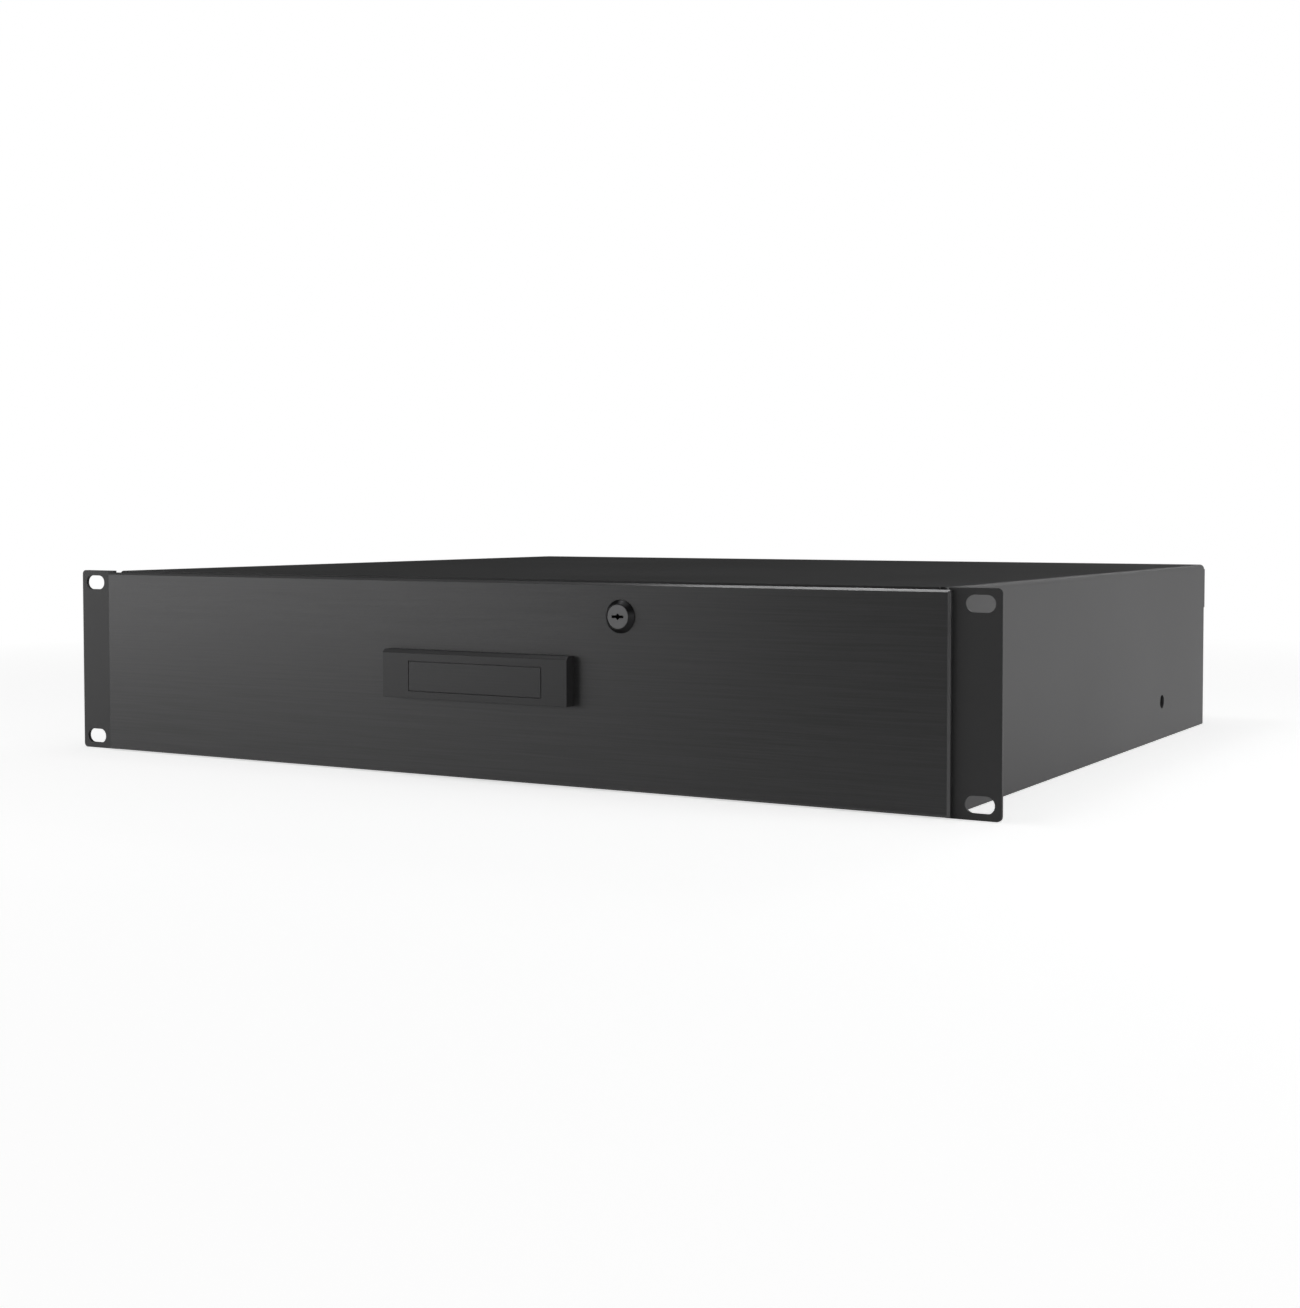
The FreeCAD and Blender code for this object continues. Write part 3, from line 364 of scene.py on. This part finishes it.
def satin_metal(name, colour, rough, stretch, band, spread=0.08):
    """Bare or plated metal with faint drawn lines, clouding, rounded edges and a painted highlight that
    lightens the colour along the edges.
    """
    material, tree, shader = new_material(name)
    shader.inputs["Metallic"].default_value = 1.0
    lines = grain(tree, stretch, 3, 0.6)
    cloud = grain(tree, (35, 35, 35), 3)
    rounded, edge = edges(tree, band)
    plate = shades(tree, sum_of(tree, cloud, lines, 0.4), colour, spread)
    # Painted highlight: a lighter colour along the edges.
    highlighted = [min(1, 1.15 * part) for part in colour]
    tree.links.new(tinted(tree, edge, plate, highlighted), shader.inputs["Base Color"])
    tree.links.new(between(tree, sum_of(tree, lines, cloud, 0.5), *rough), shader.inputs["Roughness"])
    relief(tree, shader, lines, depth=0.02 * MM, strength=0.3, normal=rounded)
    return material


def moulded_rubber(name, colour, band):
    """Matt black rubber with a fine grain, and a painted highlight that lightens the colour along the edges.
    """
    material, tree, shader = new_material(name)
    shader.inputs["Specular IOR Level"].default_value = 0.3
    fine = grain(tree, (2600, 2600, 2600), 2)
    cloud = grain(tree, (90, 90, 90), 2)
    rounded, edge = edges(tree, band)
    moulded = shades(tree, cloud, colour, 0.2)
    # Painted highlight: the colour is lightened along the edges.
    tree.links.new(tinted(tree, edge, moulded, [1.3 * part for part in colour]), shader.inputs["Base Color"])
    tree.links.new(between(tree, fine, 0.68, 0.84), shader.inputs["Roughness"])
    relief(tree, shader, fine, depth=0.08 * MM, strength=0.4, normal=rounded)
    return material


def finish(material, *names):
    """Gives carried-over nodes their finish."""
    for name in names:
        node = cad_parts[name]
        node.data.materials.clear()
        node.data.materials.append(material)


def both(stem):
    """The names of a left-hand and a right-hand node."""
    return [f"{stem}_{side}" for side in SIDES]


# ---------------------------------------------------------------- modelling

def deselect():
    """Selects nothing."""
    bpy.ops.object.select_all(action="DESELECT")


def pick(piece):
    """Selects one piece alone and makes it the active one."""
    deselect()
    piece.select_set(True)
    bpy.context.view_layer.objects.active = piece


def select_faces(piece, wanted):
    """Selects the faces for which wanted(face) holds, in edit mode, and nothing else."""
    bpy.ops.object.mode_set(mode="EDIT")
    bpy.ops.mesh.select_mode(type="FACE")
    bpy.ops.mesh.select_all(action="DESELECT")
    bpy.ops.object.mode_set(mode="OBJECT")
    for face in piece.data.polygons:
        face.select = wanted(face)
    bpy.ops.object.mode_set(mode="EDIT")


def settle(piece, name):
    """Puts the piece's place into its mesh and names it."""
    bpy.ops.object.mode_set(mode="OBJECT")
    pick(piece)
    bpy.ops.object.transform_apply(location=True, rotation=True, scale=True)
    piece.name = name
    piece.data.name = name
    return piece


def round_off(piece, degrees):
    """Smooth shading between faces that meet at less than the angle."""
    pick(piece)
    bpy.ops.object.shade_smooth_by_angle(angle=math.radians(degrees))


def apply_all(piece):
    """Works all of a piece's modifiers into its mesh."""
    pick(piece)
    for modifier in list(piece.modifiers):
        bpy.ops.object.modifier_apply(modifier=modifier.name)


def copy_to(piece, offset):
    """A copy with its own mesh, moved by the offset."""
    twin = piece.copy()
    twin.data = piece.data.copy()
    twin.data.transform(Matrix.Translation(offset))
    bpy.context.scene.collection.objects.link(twin)
    return twin


def join(pieces, name):
    """One object of several."""
    deselect()
    for piece in pieces:
        piece.select_set(True)
    bpy.context.view_layer.objects.active = pieces[0]
    if len(pieces) > 1:
        bpy.ops.object.join()
    pieces[0].name = name
    pieces[0].data.name = name
    return pieces[0]


def cylinder(radius, start, end, axis, vertices):
    """A cylinder along an axis, 0 for X, 1 for Y or 2 for Z, between two points on that axis."""
    turn = ((0, math.pi / 2, 0), (-math.pi / 2, math.pi / 2, 0), (0, 0, 0))[axis]
    deselect()
    bpy.ops.mesh.primitive_cylinder_add(
        vertices=vertices, radius=radius, depth=(Vector(end) - Vector(start)).length,
        location=(Vector(start) + Vector(end)) / 2, rotation=turn)
    return settle(bpy.context.object, "rod")


def box_between(low, high):
    """A box between two corners."""
    deselect()
    bpy.ops.mesh.primitive_cube_add(size=1, location=(Vector(low) + Vector(high)) / 2)
    box = bpy.context.object
    box.dimensions = Vector(high) - Vector(low)
    return settle(box, "block")


def axis_of(way):
    """The axis that a direction lies along, 0 for X, 1 for Y or 2 for Z."""
    return max(range(3), key=lambda k: abs(way[k]))


def facing(direction):
    """A test for faces that point along a direction."""
    way = Vector(direction).normalized()
    return lambda face: face.normal.dot(way) > 0.99


def bevel_rim(piece, direction, width):
    """Bevels the rim of the end face that points along a direction."""
    select_faces(piece, facing(direction))
    bpy.ops.mesh.region_to_loop()
    bpy.ops.mesh.bevel(offset=width, segments=1)
    bpy.ops.object.mode_set(mode="OBJECT")


def combined(piece, other, operation):
    """The piece and another made one by a boolean operation, which uses the other up."""
    boolean = piece.modifiers.new("boolean", "BOOLEAN")
    boolean.operation = operation
    boolean.solver = "EXACT"
    boolean.object = other
    apply_all(piece)
    bpy.data.objects.remove(other)
    bpy.ops.object.mode_set(mode="EDIT")
    bpy.ops.mesh.select_mode(type="VERT")
    bpy.ops.mesh.select_all(action="SELECT")
    bpy.ops.mesh.remove_doubles(threshold=MERGE_WITHIN)
    bpy.ops.object.mode_set(mode="OBJECT")
    return piece


def cross_recess(at, axis, sizes):
    """A cutter for a cross recess, centred on a point of the head's face."""
    across = [k for k in range(3) if k != axis]
    arms = []
    for long, short in (across, across[::-1]):
        half = Vector()
        half[long] = sizes.recess_span / 2
        half[short] = sizes.recess_width / 2
        half[axis] = sizes.recess_depth
        arms.append(box_between(Vector(at) - half, Vector(at) + half))
    return combined(*arms, "UNION")


def corner_radius(across):
    """How far a hexagon's corners stand from its middle."""
    return across / 2 / math.cos(math.radians(30))


def hexagon(start, end, across, chamfer, both_ends=False):
    """A hexagon prism between two points, its corners chamfered at the end point."""
    start, end = Vector(start), Vector(end)
    way = (end - start).normalized()
    axis = axis_of(way)
    prism = cylinder(corner_radius(across), start, end, axis, 6)
    turned = cylinder(corner_radius(across) * CHAMFER_CUTTER, start, end, axis, TURNED_SIDES)
    bevel_rim(turned, way, chamfer)
    if both_ends:
        bevel_rim(turned, -way, chamfer)
    return combined(prism, turned, "INTERSECT")


def hexagon_screw(seat, way, across, shank, sizes):
    """A screw with a recessed hexagon head on the seat and a threaded shank (radius, length) behind it."""
    seat, way = Vector(seat), Vector(way)
    axis = axis_of(way)
    face = seat + way * sizes.screw_head_height
    prism = hexagon(seat, face, across, sizes.corner_chamfer)
    head = combined(prism, cross_recess(face, axis, sizes), "DIFFERENCE")
    round_off(head, FLAT_SIDED)
    radius, length = shank
    shank = threaded_rod(seat - way * length, seat + way * SHANK_OVERLAP, radius, axis, sizes)
    return join([head, shank], "screw")


def hexagon_nut(start, end, across, hole, sizes):
    """A nut between two points, chamfered at both ends."""
    start, end = Vector(start), Vector(end)
    over = (end - start).normalized() * MM
    nut = combined(hexagon(start, end, across, sizes.corner_chamfer, both_ends=True),
                   cylinder(hole, start - over, end + over, 1, HOLE_SIDES), "DIFFERENCE")
    round_off(nut, FLAT_SIDED)
    return nut


def threaded_rod(start, end, radius, axis, sizes):
    """A rod with a ringed thread between two points, spun from its outline."""
    low, high = sorted((start[axis], end[axis]))
    root = radius - sizes.thread_depth
    outline = [(low, 0.0), (low, root)]
    place = low + sizes.thread_pitch / 2
    while place < high - sizes.thread_pitch:
        outline += [(place, radius), (place + sizes.thread_pitch / 2, root)]
        place += sizes.thread_pitch
    outline += [(high, root), (high, 0.0)]
    return spun(outline, start, axis, THREAD_SIDES, "rod")


def spun(outline, centre, axis, steps, name):
    """A closed solid of revolution about a line along an axis, from (along the axis, radius) pairs."""
    along = Vector([float(k == axis) for k in range(3)])
    line = Vector(centre) - along * centre[axis]
    deselect()
    bpy.ops.mesh.primitive_plane_add(size=MM, location=line + along * outline[0][0])
    piece = bpy.context.object
    bpy.ops.object.mode_set(mode="EDIT")
    bpy.ops.mesh.select_mode(type="VERT")
    bpy.ops.mesh.select_all(action="SELECT")
    bpy.ops.mesh.merge(type="CENTER")
    for (from_place, from_radius), (to_place, to_radius) in zip(outline, outline[1:]):
        step = along * (to_place - from_place)
        step.z += to_radius - from_radius
        bpy.ops.mesh.extrude_region_move(TRANSFORM_OT_translate={"value": step})
    bpy.ops.mesh.select_all(action="SELECT")
    bpy.ops.mesh.spin(steps=steps, angle=2 * math.pi, center=line, axis=along)
    bpy.ops.mesh.select_all(action="SELECT")
    bpy.ops.mesh.remove_doubles(threshold=SEAM_WITHIN)
    bpy.ops.mesh.normals_make_consistent(inside=False)
    settle(piece, name)
    round_off(piece, THREADED)
    return piece


def fit_on(piece, body, slot, material, *nodes):
    """Puts a piece on its body and in its finish, in place of the nodes it stands for; the slot argument is
    not used.
    """
    piece.data.materials.clear()
    piece.data.materials.append(material)
    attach(piece, body)
    if nodes:
        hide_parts(*nodes)


# ---------------------------------------------------------------- operators

class RACKDRAWER_OT_cabinet(bpy.types.Operator):
    """Powder coats the cabinet shell, floor pan and lock catch, and finishes the rubber bumpers"""

    bl_idname = "rackdrawer.cabinet"
    bl_label = "Cabinet"

    def execute(self, context):
        colours, band = context.scene.drawer_finishes, context.scene.drawer_sizes.edge_band
        coat = powder_coat("cabinet_coat", colours.cabinet_coat, band)
        finish(coat, "housing_shell", "bottom_pan", "lock_catch")
        finish(moulded_rubber("bumper_rubber", colours.rubber, band), *both("bumper"))
        return {"FINISHED"}


class RACKDRAWER_OT_tray(bpy.types.Operator):
    """Powder coats the tray"""

    bl_idname = "rackdrawer.tray"
    bl_label = "Tray"

    def execute(self, context):
        colours, band = context.scene.drawer_finishes, context.scene.drawer_sizes.edge_band
        finish(powder_coat("tray_coat", colours.tray_coat, band), "drawer_tray")
        return {"FINISHED"}


class RACKDRAWER_OT_front(bpy.types.Operator):
    """Brushes and anodises the front panel, the pull and its bare plate"""

    bl_idname = "rackdrawer.front"
    bl_label = "Front panel and pull"

    def execute(self, context):
        colours, band = context.scene.drawer_finishes, 0.4 * context.scene.drawer_sizes.edge_band
        finish(brushed_anodise("panel_anodise", colours.panel_anodise, band), "front_panel")
        pull = brushed_anodise("pull_anodise", colours.pull_anodise, band, 0.05, (0.38, 0.46))
        finish(pull, "pull_handle")
        plate = brushed_anodise("plate_anodise", colours.pull_anodise, band, 0.07, (0.36, 0.44))
        finish(plate, "handle_insert")
        return {"FINISHED"}


class RACKDRAWER_OT_slides(bpy.types.Operator):
    """Plates the slide members and sets round balls in their retainers"""

    bl_idname = "rackdrawer.slides"
    bl_label = "Slides"

    def execute(self, context):
        colours, sizes = context.scene.drawer_finishes, context.scene.drawer_sizes
        band = sizes.edge_band
        zinc = satin_metal("slide_zinc", colours.zinc, (0.24, 0.40), (420, 7, 420), band)
        finish(zinc, *both("slide_outer"), *both("slide_middle"), *both("slide_inner"))
        steel = satin_metal("retainer_steel", colours.rolled_steel, (0.30, 0.46), (700, 20, 700), band)
        finish(steel, *both("retainer_outer"), *both("retainer_inner"))
        polished = satin_metal("ball_steel", POLISHED_STEEL, (0.06, 0.12), (400, 400, 400), band, 0.03)
        for row in ("outer", "inner"):
            for side in SIDES:
                self.set_balls(f"balls_{row}_{side}", f"{row}_cage_{side}", sizes.ball_radius, polished)
        return {"FINISHED"}

    def set_balls(self, node, body, radius, polished):
        """Round balls in an upper and a lower row, spread over the node's box."""
        low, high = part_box(node)
        middle = (low.x + high.x) / 2
        inset = (high.x - low.x) / 2
        first, last = low.y + inset, high.y - inset
        deselect()
        bpy.ops.mesh.primitive_uv_sphere_add(segments=24, ring_count=16, radius=radius,
                                             location=(middle, first, low.z + inset))
        ball = settle(bpy.context.object, "ball")
        round_off(ball, ROUND)
        step = (last - first) / (BALLS_IN_ROW - 1)
        rise = high.z - low.z - 2 * inset
        row = [ball] + [copy_to(ball, Vector((0, k * step, level)))
                        for k in range(BALLS_IN_ROW) for level in (0, rise) if k or level]
        fit_on(join(row, f"round_{node}"), body, "ball_steel", polished, node)


class RACKDRAWER_OT_fasteners(bpy.types.Operator):
    """Makes the tray screws, the pull's screws, and the panel's studs and nuts"""

    bl_idname = "rackdrawer.fasteners"
    bl_label = "Screws, studs and nuts"

    def execute(self, context):
        colours, sizes = context.scene.drawer_finishes, context.scene.drawer_sizes
        band = 0.5 * sizes.edge_band
        zinc = satin_metal("fastener_zinc", colours.zinc, (0.26, 0.42), (900, 900, 900), band)
        self.tray_screws(sizes, zinc)
        self.pull_screws(sizes, zinc)
        self.studs_and_nuts(sizes, zinc)
        return {"FINISHED"}

    def tray_screws(self, sizes, zinc):
        """Four screws from inside the tray, through its sides, into the slides' inner members."""
        low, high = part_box("tray_screws")
        across = high.z - low.z
        inset = corner_radius(across)
        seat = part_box("drawer_tray")[1].x - sizes.tray_sheet
        screws = [hexagon_screw((-way * seat, place, (low.z + high.z) / 2), (way, 0, 0), across,
                                (sizes.tray_screw_radius, high.x - seat), sizes)
                  for way in (-1, 1) for place in (low.y + inset, high.y - inset)]
        fit_on(join(screws, "tray_hexagon_screws"), DRAWER, "fastener_zinc", zinc, "tray_screws")

    def pull_screws(self, sizes, zinc):
        """Two screws from inside the tray, through its front wall and the panel, into the pull."""
        low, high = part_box("handle_screws")
        across = high.z - low.z
        inset = corner_radius(across)
        seat = high.y - sizes.screw_head_height
        screws = [hexagon_screw((place, seat, (low.z + high.z) / 2), (0, 1, 0), across,
                                (sizes.pull_screw_radius, seat - low.y), sizes)
                  for place in (low.x + inset, high.x - inset)]
        fit_on(join(screws, "pull_hexagon_screws"), DRAWER, "fastener_zinc", zinc, "handle_screws")

    def studs_and_nuts(self, sizes, zinc):
        """Four studs that stand behind the front panel and the nuts that clamp the tray on them."""
        low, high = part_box("panel_studs")
        nut_low, nut_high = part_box("panel_nuts")
        radius = sizes.stud_radius
        spots = [(x, z) for x in (low.x + radius, high.x - radius) for z in (low.z + radius, high.z - radius)]
        studs = [threaded_rod((x, low.y, z), (x, high.y, z), radius, 1, sizes) for x, z in spots]
        fit_on(join(studs, "threaded_studs"), DRAWER, "fastener_zinc", zinc, "panel_studs")
        nuts = [hexagon_nut((x, nut_low.y, z), (x, nut_high.y, z), sizes.panel_nut_across, radius, sizes)
                for x, z in spots]
        fit_on(join(nuts, "chamfered_nuts"), DRAWER, "fastener_zinc", zinc, "panel_nuts")


class RACKDRAWER_OT_lock(bpy.types.Operator):
    """Finishes the lock and makes its nut and cam screw"""

    bl_idname = "rackdrawer.lock"
    bl_label = "Cam lock"

    def execute(self, context):
        colours, sizes = context.scene.drawer_finishes, context.scene.drawer_sizes
        band = 0.5 * sizes.edge_band
        barrel = satin_metal("lock_barrel_metal", colours.lock_metal, (0.30, 0.40), (300, 300, 300), band)
        finish(barrel, "lock_barrel")
        plug = satin_metal("lock_plug_metal", colours.lock_face, (0.32, 0.44), (500, 500, 500), band)
        finish(plug, "lock_plug")
        zinc = satin_metal("lock_zinc", colours.zinc, (0.26, 0.42), (700, 700, 700), band)
        finish(zinc, "lock_cam")
        low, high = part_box("lock_nut")
        centre = (low + high) / 2
        nut = hexagon_nut((centre.x, low.y, centre.z), (centre.x, high.y, centre.z), high.z - low.z,
                          sizes.lock_nut_hole, sizes)
        fit_on(join([nut], "chamfered_lock_nut"), DRAWER, "fastener_zinc", zinc, "lock_nut")
        self.cam_screw(centre, sizes, zinc)
        return {"FINISHED"}

    def cam_screw(self, centre, sizes, zinc):
        """The hexagon screw that holds the cam on the end of the plug."""
        low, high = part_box("cam_screw")
        seat = Vector((centre.x, high.y - sizes.screw_head_height, centre.z))
        shank = (sizes.cam_screw_radius, seat.y - low.y)
        screw = hexagon_screw(seat, (0, 1, 0), high.z - low.z, shank, sizes)
        fit_on(join([screw], "hexagon_cam_screw"), LOCK, "fastener_zinc", zinc, "cam_screw")


class RACKDRAWER_OT_studio(bpy.types.Operator):
    """Sets up the floor, the lamps, the backdrop and the camera"""

    bl_idname = "rackdrawer.studio"
    bl_label = "Studio"

    def execute(self, context):
        settings = context.scene.studio_settings
        self.floor(settings.floor_glow)
        self.backdrop(context.scene, settings.fill)
        self.lamp("key_lamp", settings.key,
                  place=(-0.68, -0.54, 0.07), target=(-0.12, 0, 0), size=(0.85, 0.23))
        self.lamp("sky_lamp", settings.sky,
                  place=(0, 0.10, 2.0), target=(0, 0.10, 0), size=(1.5, 1.5))
        self.lamp("side_lamp", settings.side,
                  place=(1.1, 0.14, 0.16), target=(0.22, 0.15, 0), size=(0.6, 0.4))
        self.lamp("top_lamp", settings.top,
                  place=(-0.28, -0.05, 1.03), target=(0.1, 0, 0.04), size=(0.12, 0.3))
        self.lamp("rim_lamp", settings.rim,
                  place=(0.30, 1.9, 0.90), target=(0.22, 0.1, 0.04), size=(0.5, 0.3))
        self.camera(context.scene, settings)
        context.scene.view_settings.view_transform = "Standard"
        return {"FINISHED"}

    def shown(self, tree, behind):
        """How much of the white backdrop a ray sees: all of it straight or through glass, and in metal as
        much as the factor behind lets through."""
        path = tree.nodes.new("ShaderNodeLightPath")
        straight = worked(tree, "MAXIMUM", path.outputs["Is Camera Ray"], path.outputs["Is Transmission Ray"])
        mirrored = worked(tree, "MULTIPLY", path.outputs["Is Glossy Ray"], behind)
        return worked(tree, "MAXIMUM", straight, mirrored)

    def floor(self, glow):
        """Pale paper that shows the shadow near the drawer and fades into the backdrop further out."""
        deselect()
        bpy.ops.mesh.primitive_plane_add(size=FLOOR_SIZE, location=(0, 0, CAD_BOX[0].z - FLOOR_GAP))
        floor = settle(bpy.context.object, "floor")
        material = bpy.data.materials.new("floor_paper")
        material.use_nodes = True
        tree = material.node_tree
        tree.nodes.clear()
        output = tree.nodes.new("ShaderNodeOutputMaterial")
        paper = tree.nodes.new("ShaderNodeBsdfDiffuse")
        paper.inputs["Color"].default_value = PAPER
        shine = tree.nodes.new("ShaderNodeEmission")
        shine.inputs["Strength"].default_value = glow
        near = tree.nodes.new("ShaderNodeAddShader")
        tree.links.new(paper.outputs[0], near.inputs[0])
        tree.links.new(shine.outputs[0], near.inputs[1])
        far = tree.nodes.new("ShaderNodeEmission")
        coordinates = tree.nodes.new("ShaderNodeTexCoord")
        distance = tree.nodes.new("ShaderNodeVectorMath")
        distance.operation = "DISTANCE"
        distance.inputs[1].default_value = (0, FLOOR_MIDDLE, CAD_BOX[0].z)
        tree.links.new(coordinates.outputs["Object"], distance.inputs[0])
        faded = tree.nodes.new("ShaderNodeMixShader")
        fade = between(tree, distance.outputs["Value"], 0, 1, FADE_START, FADE_END)
        tree.links.new(fade, faded.inputs["Fac"])
        tree.links.new(near.outputs[0], faded.inputs[1])
        tree.links.new(far.outputs[0], faded.inputs[2])
        place = tree.nodes.new("ShaderNodeSeparateXYZ")
        tree.links.new(coordinates.outputs["Object"], place.inputs[0])
        seen = tree.nodes.new("ShaderNodeMixShader")
        behind = between(tree, place.outputs["Y"], 0, 1, -0.2, 0.3)
        tree.links.new(self.shown(tree, behind), seen.inputs["Fac"])
        tree.links.new(paper.outputs[0], seen.inputs[1])
        tree.links.new(faded.outputs[0], seen.inputs[2])
        tree.links.new(seen.outputs[0], output.inputs["Surface"])
        floor.data.materials.append(material)

    def backdrop(self, scene, fill):
        """A white backdrop and a low soft fill. Metal sees the white only at the back right, and a dark
        curtain elsewhere at the back."""
        world = bpy.data.worlds.new("studio_world")
        scene.world = world
        world.use_nodes = True
        tree = world.node_tree
        tree.nodes.clear()
        output = tree.nodes.new("ShaderNodeOutputWorld")
        soft = tree.nodes.new("ShaderNodeBackground")
        soft.inputs["Color"].default_value = WHITE
        white = tree.nodes.new("ShaderNodeBackground")
        white.inputs["Color"].default_value = WHITE
        coordinates = tree.nodes.new("ShaderNodeTexCoord")
        way = tree.nodes.new("ShaderNodeSeparateXYZ")
        tree.links.new(coordinates.outputs["Generated"], way.inputs[0])
        back = between(tree, way.outputs["Y"], 0, 1, -0.05, 0.45)
        clear = between(tree, way.outputs["X"], 0, 1, 0, 0.2)
        path = tree.nodes.new("ShaderNodeLightPath")
        curtain = worked(tree, "MULTIPLY", path.outputs["Is Glossy Ray"], back)
        tree.links.new(between(tree, curtain, fill, 0, 0, 1), soft.inputs["Strength"])
        mix = tree.nodes.new("ShaderNodeMixShader")
        tree.links.new(self.shown(tree, worked(tree, "MULTIPLY", back, clear)), mix.inputs["Fac"])
        tree.links.new(soft.outputs[0], mix.inputs[1])
        tree.links.new(white.outputs[0], mix.inputs[2])
        tree.links.new(mix.outputs[0], output.inputs["Surface"])

    def lamp(self, name, brightness, place, target, size):
        """A soft lamp that faces its target; its brightness is that of its own surface, 1 for white."""
        data = bpy.data.lights.new(name, "AREA")
        data.shape = "RECTANGLE"
        data.size, data.size_y = size
        data.energy = brightness * math.pi * size[0] * size[1]
        lamp = bpy.data.objects.new(name, data)
        bpy.context.scene.collection.objects.link(lamp)
        lamp.location = place
        lamp.rotation_euler = (Vector(target) - Vector(place)).to_track_quat("-Z", "Y").to_euler()
        lamp.visible_camera = False

    def camera(self, scene, settings):
        """A camera that stands upright, turned to the left and dipped as the settings say."""
        data = bpy.data.cameras.new("camera")
        data.lens = settings.camera_lens
        data.sensor_width = 36
        data.shift_x, data.shift_y = settings.camera_shift
        data.clip_start, data.clip_end = 0.01, 100
        camera = bpy.data.objects.new("camera", data)
        scene.collection.objects.link(camera)
        camera.location = settings.camera_place
        camera.rotation_euler = (math.pi / 2 - settings.camera_dip, 0, settings.camera_turn)
        scene.camera = camera


STEPS = (RACKDRAWER_OT_cabinet, RACKDRAWER_OT_tray, RACKDRAWER_OT_front, RACKDRAWER_OT_slides,
         RACKDRAWER_OT_fasteners, RACKDRAWER_OT_lock, RACKDRAWER_OT_studio)


class RACKDRAWER_PT_panel(bpy.types.Panel):
    """Lists the steps that dress the rack drawer"""

    bl_idname = "RACKDRAWER_PT_panel"
    bl_label = "Rack drawer"
    bl_space_type = "VIEW_3D"
    bl_region_type = "UI"
    bl_category = "Rack drawer"

    def draw(self, context):
        for step in STEPS:
            self.layout.operator(step.bl_idname)
        scene = context.scene
        for group in (scene.drawer_finishes, scene.drawer_sizes, scene.studio_settings):
            for key in group.__annotations__:
                self.layout.prop(group, key)


GROUPS = (DrawerFinishes, DrawerSizes, StudioSettings)


def register():
    for each in (*GROUPS, *STEPS, RACKDRAWER_PT_panel):
        bpy.utils.register_class(each)
    bpy.types.Scene.drawer_finishes = bpy.props.PointerProperty(type=DrawerFinishes)
    bpy.types.Scene.drawer_sizes = bpy.props.PointerProperty(type=DrawerSizes)
    bpy.types.Scene.studio_settings = bpy.props.PointerProperty(type=StudioSettings)


def unregister():
    del bpy.types.Scene.studio_settings
    del bpy.types.Scene.drawer_sizes
    del bpy.types.Scene.drawer_finishes
    for each in reversed((*GROUPS, *STEPS, RACKDRAWER_PT_panel)):
        bpy.utils.unregister_class(each)


def main():
    """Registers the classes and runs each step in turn."""
    register()
    bpy.ops.rackdrawer.cabinet()
    bpy.ops.rackdrawer.tray()
    bpy.ops.rackdrawer.front()
    bpy.ops.rackdrawer.slides()
    bpy.ops.rackdrawer.fasteners()
    bpy.ops.rackdrawer.lock()
    bpy.ops.rackdrawer.studio()


if __name__ == "__main__":
    main()
